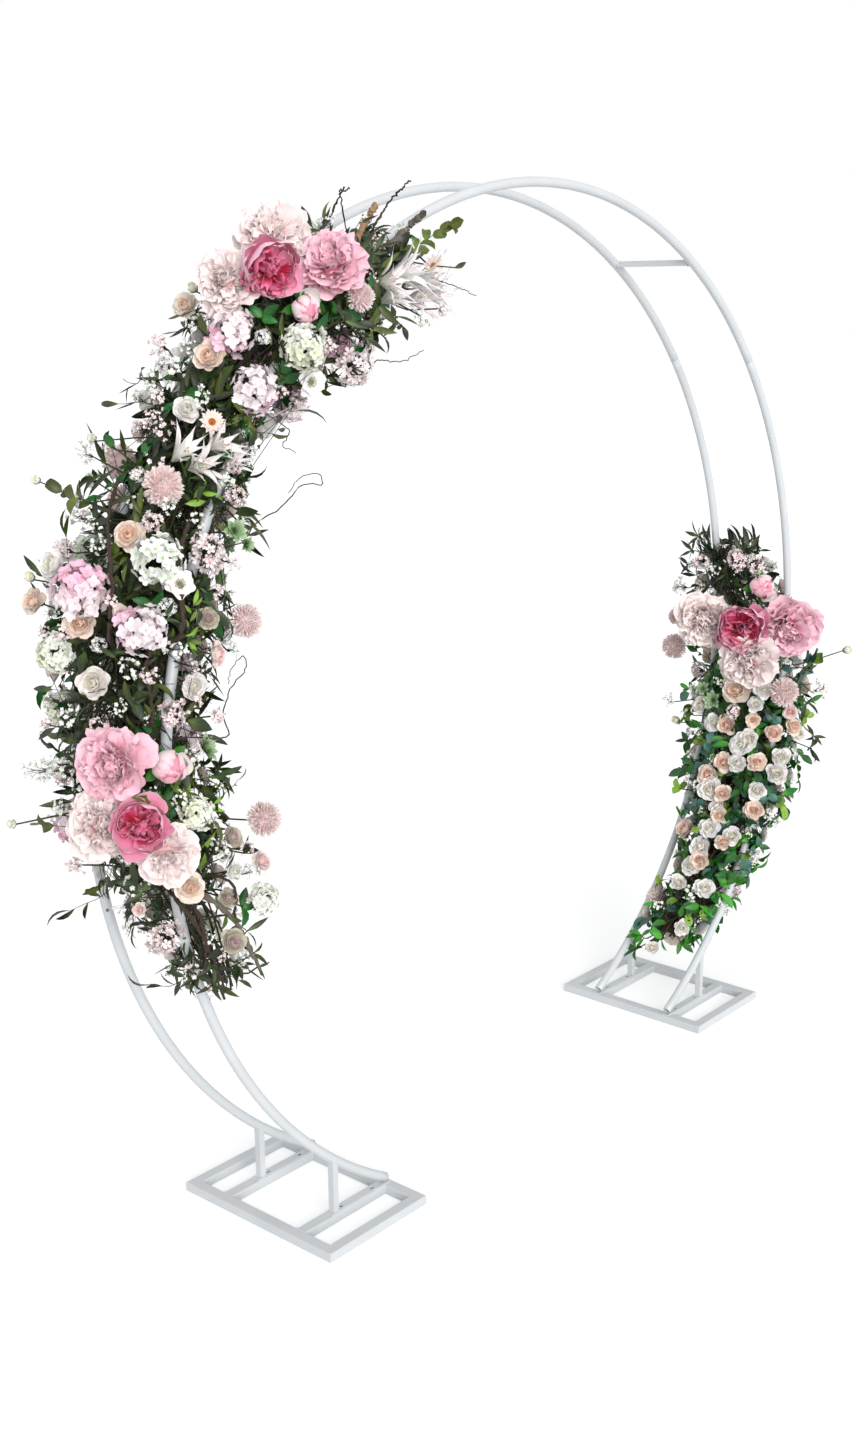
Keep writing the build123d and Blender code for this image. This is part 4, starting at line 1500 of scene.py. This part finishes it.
def make_left_garland():
    """The long garland on the left: stems, leaves and every bloom of it but the peonies."""
    rng = np.random.default_rng(left_seed)
    garland = left_garland
    stems = Heap()
    blooms = {name: Heap() for name in ("hydrangeas", "roses", "mums", "small_blooms", "succulents")}
    small_blooms = blooms["small_blooms"]
    taken = clear_seats(upper_peonies) + clear_seats(lower_peonies) + seats_of(garland, clear_spots)
    shapes = [make_shapes(rng, *kind[2:4]) for kind in left_kinds]
    seats = seats_of(garland, left_lilies)
    seats = [(place, unit(0.6 * face + lily_lean), size) for place, face, size in seats]
    plant(make_shapes(rng, lily, several(3)), seats, garland, small_blooms, stems, rng)
    taken += [(place, face, 0.4 * size) for place, face, size in seats]
    plant_all(garland, left_kinds, shapes, taken, blooms, stems, rng)
    fillers = make_shapes(rng, spray, several(3, white, leaf_pale) + [(mauve_pale, mauve_fold)])
    fillers += [stock(rng, white, ivory), spray(rng, petal_white, rose_blush, 10)]
    add_fillers(garland, taken, small_blooms, stems, rng, left_fillers, fillers)
    add_core(garland, stems, rng, left_branches, left_branch_radius)
    for pixels, thick, thin, wood in thick_twigs:
        path = twig_path(garland, pixels, rng)
        radii = np.linspace(thick / 1000, thin / 1000, len(path)) * rng.uniform(0.75, 1.25, len(path))
        add_tube(stems, path, radii, woods[wood], bark_look, 8)
    for pixels in curly_twigs:
        path = twig_path(garland, pixels, rng)
        add_tube(stems, path, np.linspace(*curly_radii, len(path)), woods["curly"], bark_look, 5)
    foliage = grow_leaves(garland, stems, rng, taken, left_leaves, left_layers, left_tufts, pixel_sprigs)
    build_garland("left", blooms, foliage, stems, ("top", "crest", "shoulder", "side", "lower", "tip"))


def make_right_garland():
    """The shorter garland on the right: a leafy tuft, then a dense cascade of small roses."""
    rng = np.random.default_rng(right_seed)
    garland = right_garland
    stems = Heap()
    blooms = {name: Heap() for name in ("roses", "mums", "small_blooms", "succulents")}
    taken = clear_seats(right_peonies)
    shapes = [make_shapes(rng, *kind[2:4]) for kind in right_kinds]
    plant_all(garland, right_kinds, shapes, taken, blooms, stems, rng)
    fillers = make_shapes(rng, spray, ((white, leaf_pale), (ivory, leaf_lime)))
    add_fillers(garland, taken, blooms["small_blooms"], stems, rng, right_fillers, fillers)
    add_core(garland, stems, rng, right_branches, right_branch_radius)
    foliage = grow_leaves(garland, stems, rng, taken, right_leaves, right_layers, right_tufts)
    build_garland("right", blooms, foliage, stems, ("top", "side", "lower", "tip"))


def make_camera():
    """The photograph's camera."""
    data = bpy.data.cameras.new("photo_camera")
    data.sensor_fit = "AUTO"
    data.sensor_width = sensor_long_side
    data.lens = focal_pixels / photo_height * sensor_long_side
    data.clip_end = 100
    camera = bpy.data.objects.new("photo_camera", data)
    turn = Matrix((camera_right, camera_up, -camera_ahead)).transposed()
    camera.matrix_world = Matrix.Translation(Vector(camera_place)) @ turn.to_4x4()
    bpy.context.scene.collection.objects.link(camera)
    bpy.context.scene.camera = camera


def seen_directly(tree):
    """One for rays that look at the background straight, by reflection or through glass, else nothing."""
    path = tree.nodes.new("ShaderNodeLightPath").outputs
    either = add_node(tree, "Math", path["Is Camera Ray"], path["Is Glossy Ray"], operation="MAXIMUM")
    return add_node(tree, "Math", either, path["Is Transmission Ray"], operation="MAXIMUM")


def make_world(light):
    """Plain light from all round, seen as white."""
    world = bpy.data.worlds.new("studio")
    world.use_nodes = True
    tree = world.node_tree
    shown = tree.nodes["Background"]
    shown.inputs["Color"].default_value = (1, 1, 1, 1)
    shown.inputs["Strength"].default_value = 1.0
    lit = add_node(tree, "Background", Color=(0.97, 0.985, 1.0, 1), Strength=light)
    both = add_node(tree, "MixShader", seen_directly(tree), lit, shown.outputs[0])
    tree.links.new(both, tree.nodes["World Output"].inputs["Surface"])
    bpy.context.scene.world = world


def make_floor(glow):
    """A plain pale floor that keeps a soft shadow."""
    half = 30.0
    sink = -0.0006
    mesh = bpy.data.meshes.new("floor")
    corners = ((-half, -half, sink), (half, -half, sink), (half, half, sink), (-half, half, sink))
    mesh.from_pydata(corners, [], [(0, 1, 2, 3)])
    floor = bpy.data.objects.new("floor", mesh)
    bpy.context.scene.collection.objects.link(floor)
    material = bpy.data.materials.new("pale_floor")
    material.use_nodes = True
    tree = material.node_tree
    tree.nodes.remove(tree.nodes["Principled BSDF"])
    matt = add_node(tree, "BsdfDiffuse", Color=(0.8, 0.8, 0.8, 1))
    amount = add_node(tree, "Math", seen_directly(tree), glow, operation="MULTIPLY")
    bright = add_node(tree, "Emission", Color=(1, 1, 1, 1), Strength=amount)
    both = add_node(tree, "AddShader", matt, bright)
    tree.links.new(both, tree.nodes["Material Output"].inputs["Surface"])
    mesh.materials.append(material)


def make_key_light(strength, way, softness):
    """A broad soft lamp from the camera's side."""
    data = bpy.data.lights.new("key", "SUN")
    data.energy = strength * np.pi
    data.angle = np.radians(softness)
    data.color = (1.0, 0.99, 0.975)
    lamp = bpy.data.objects.new("key", data)
    lamp.rotation_euler = Vector(way).to_track_quat("Z", "Y").to_euler()
    bpy.context.scene.collection.objects.link(lamp)


make_camera()
make_world(sky_light)
make_key_light(key_light, key_from, key_softness)
make_floor(floor_glow)
bpy.context.scene.view_settings.view_transform = "Standard"
paint_frame()
make_hoops()
make_welds()
make_screws()
make_peonies("upper_peonies", upper_peonies, left_garland, seed=101)
make_peonies("lower_peonies", lower_peonies, left_garland, seed=102)
make_peonies("right_peonies", right_peonies, right_garland, seed=103)
make_left_garland()
make_right_garland()
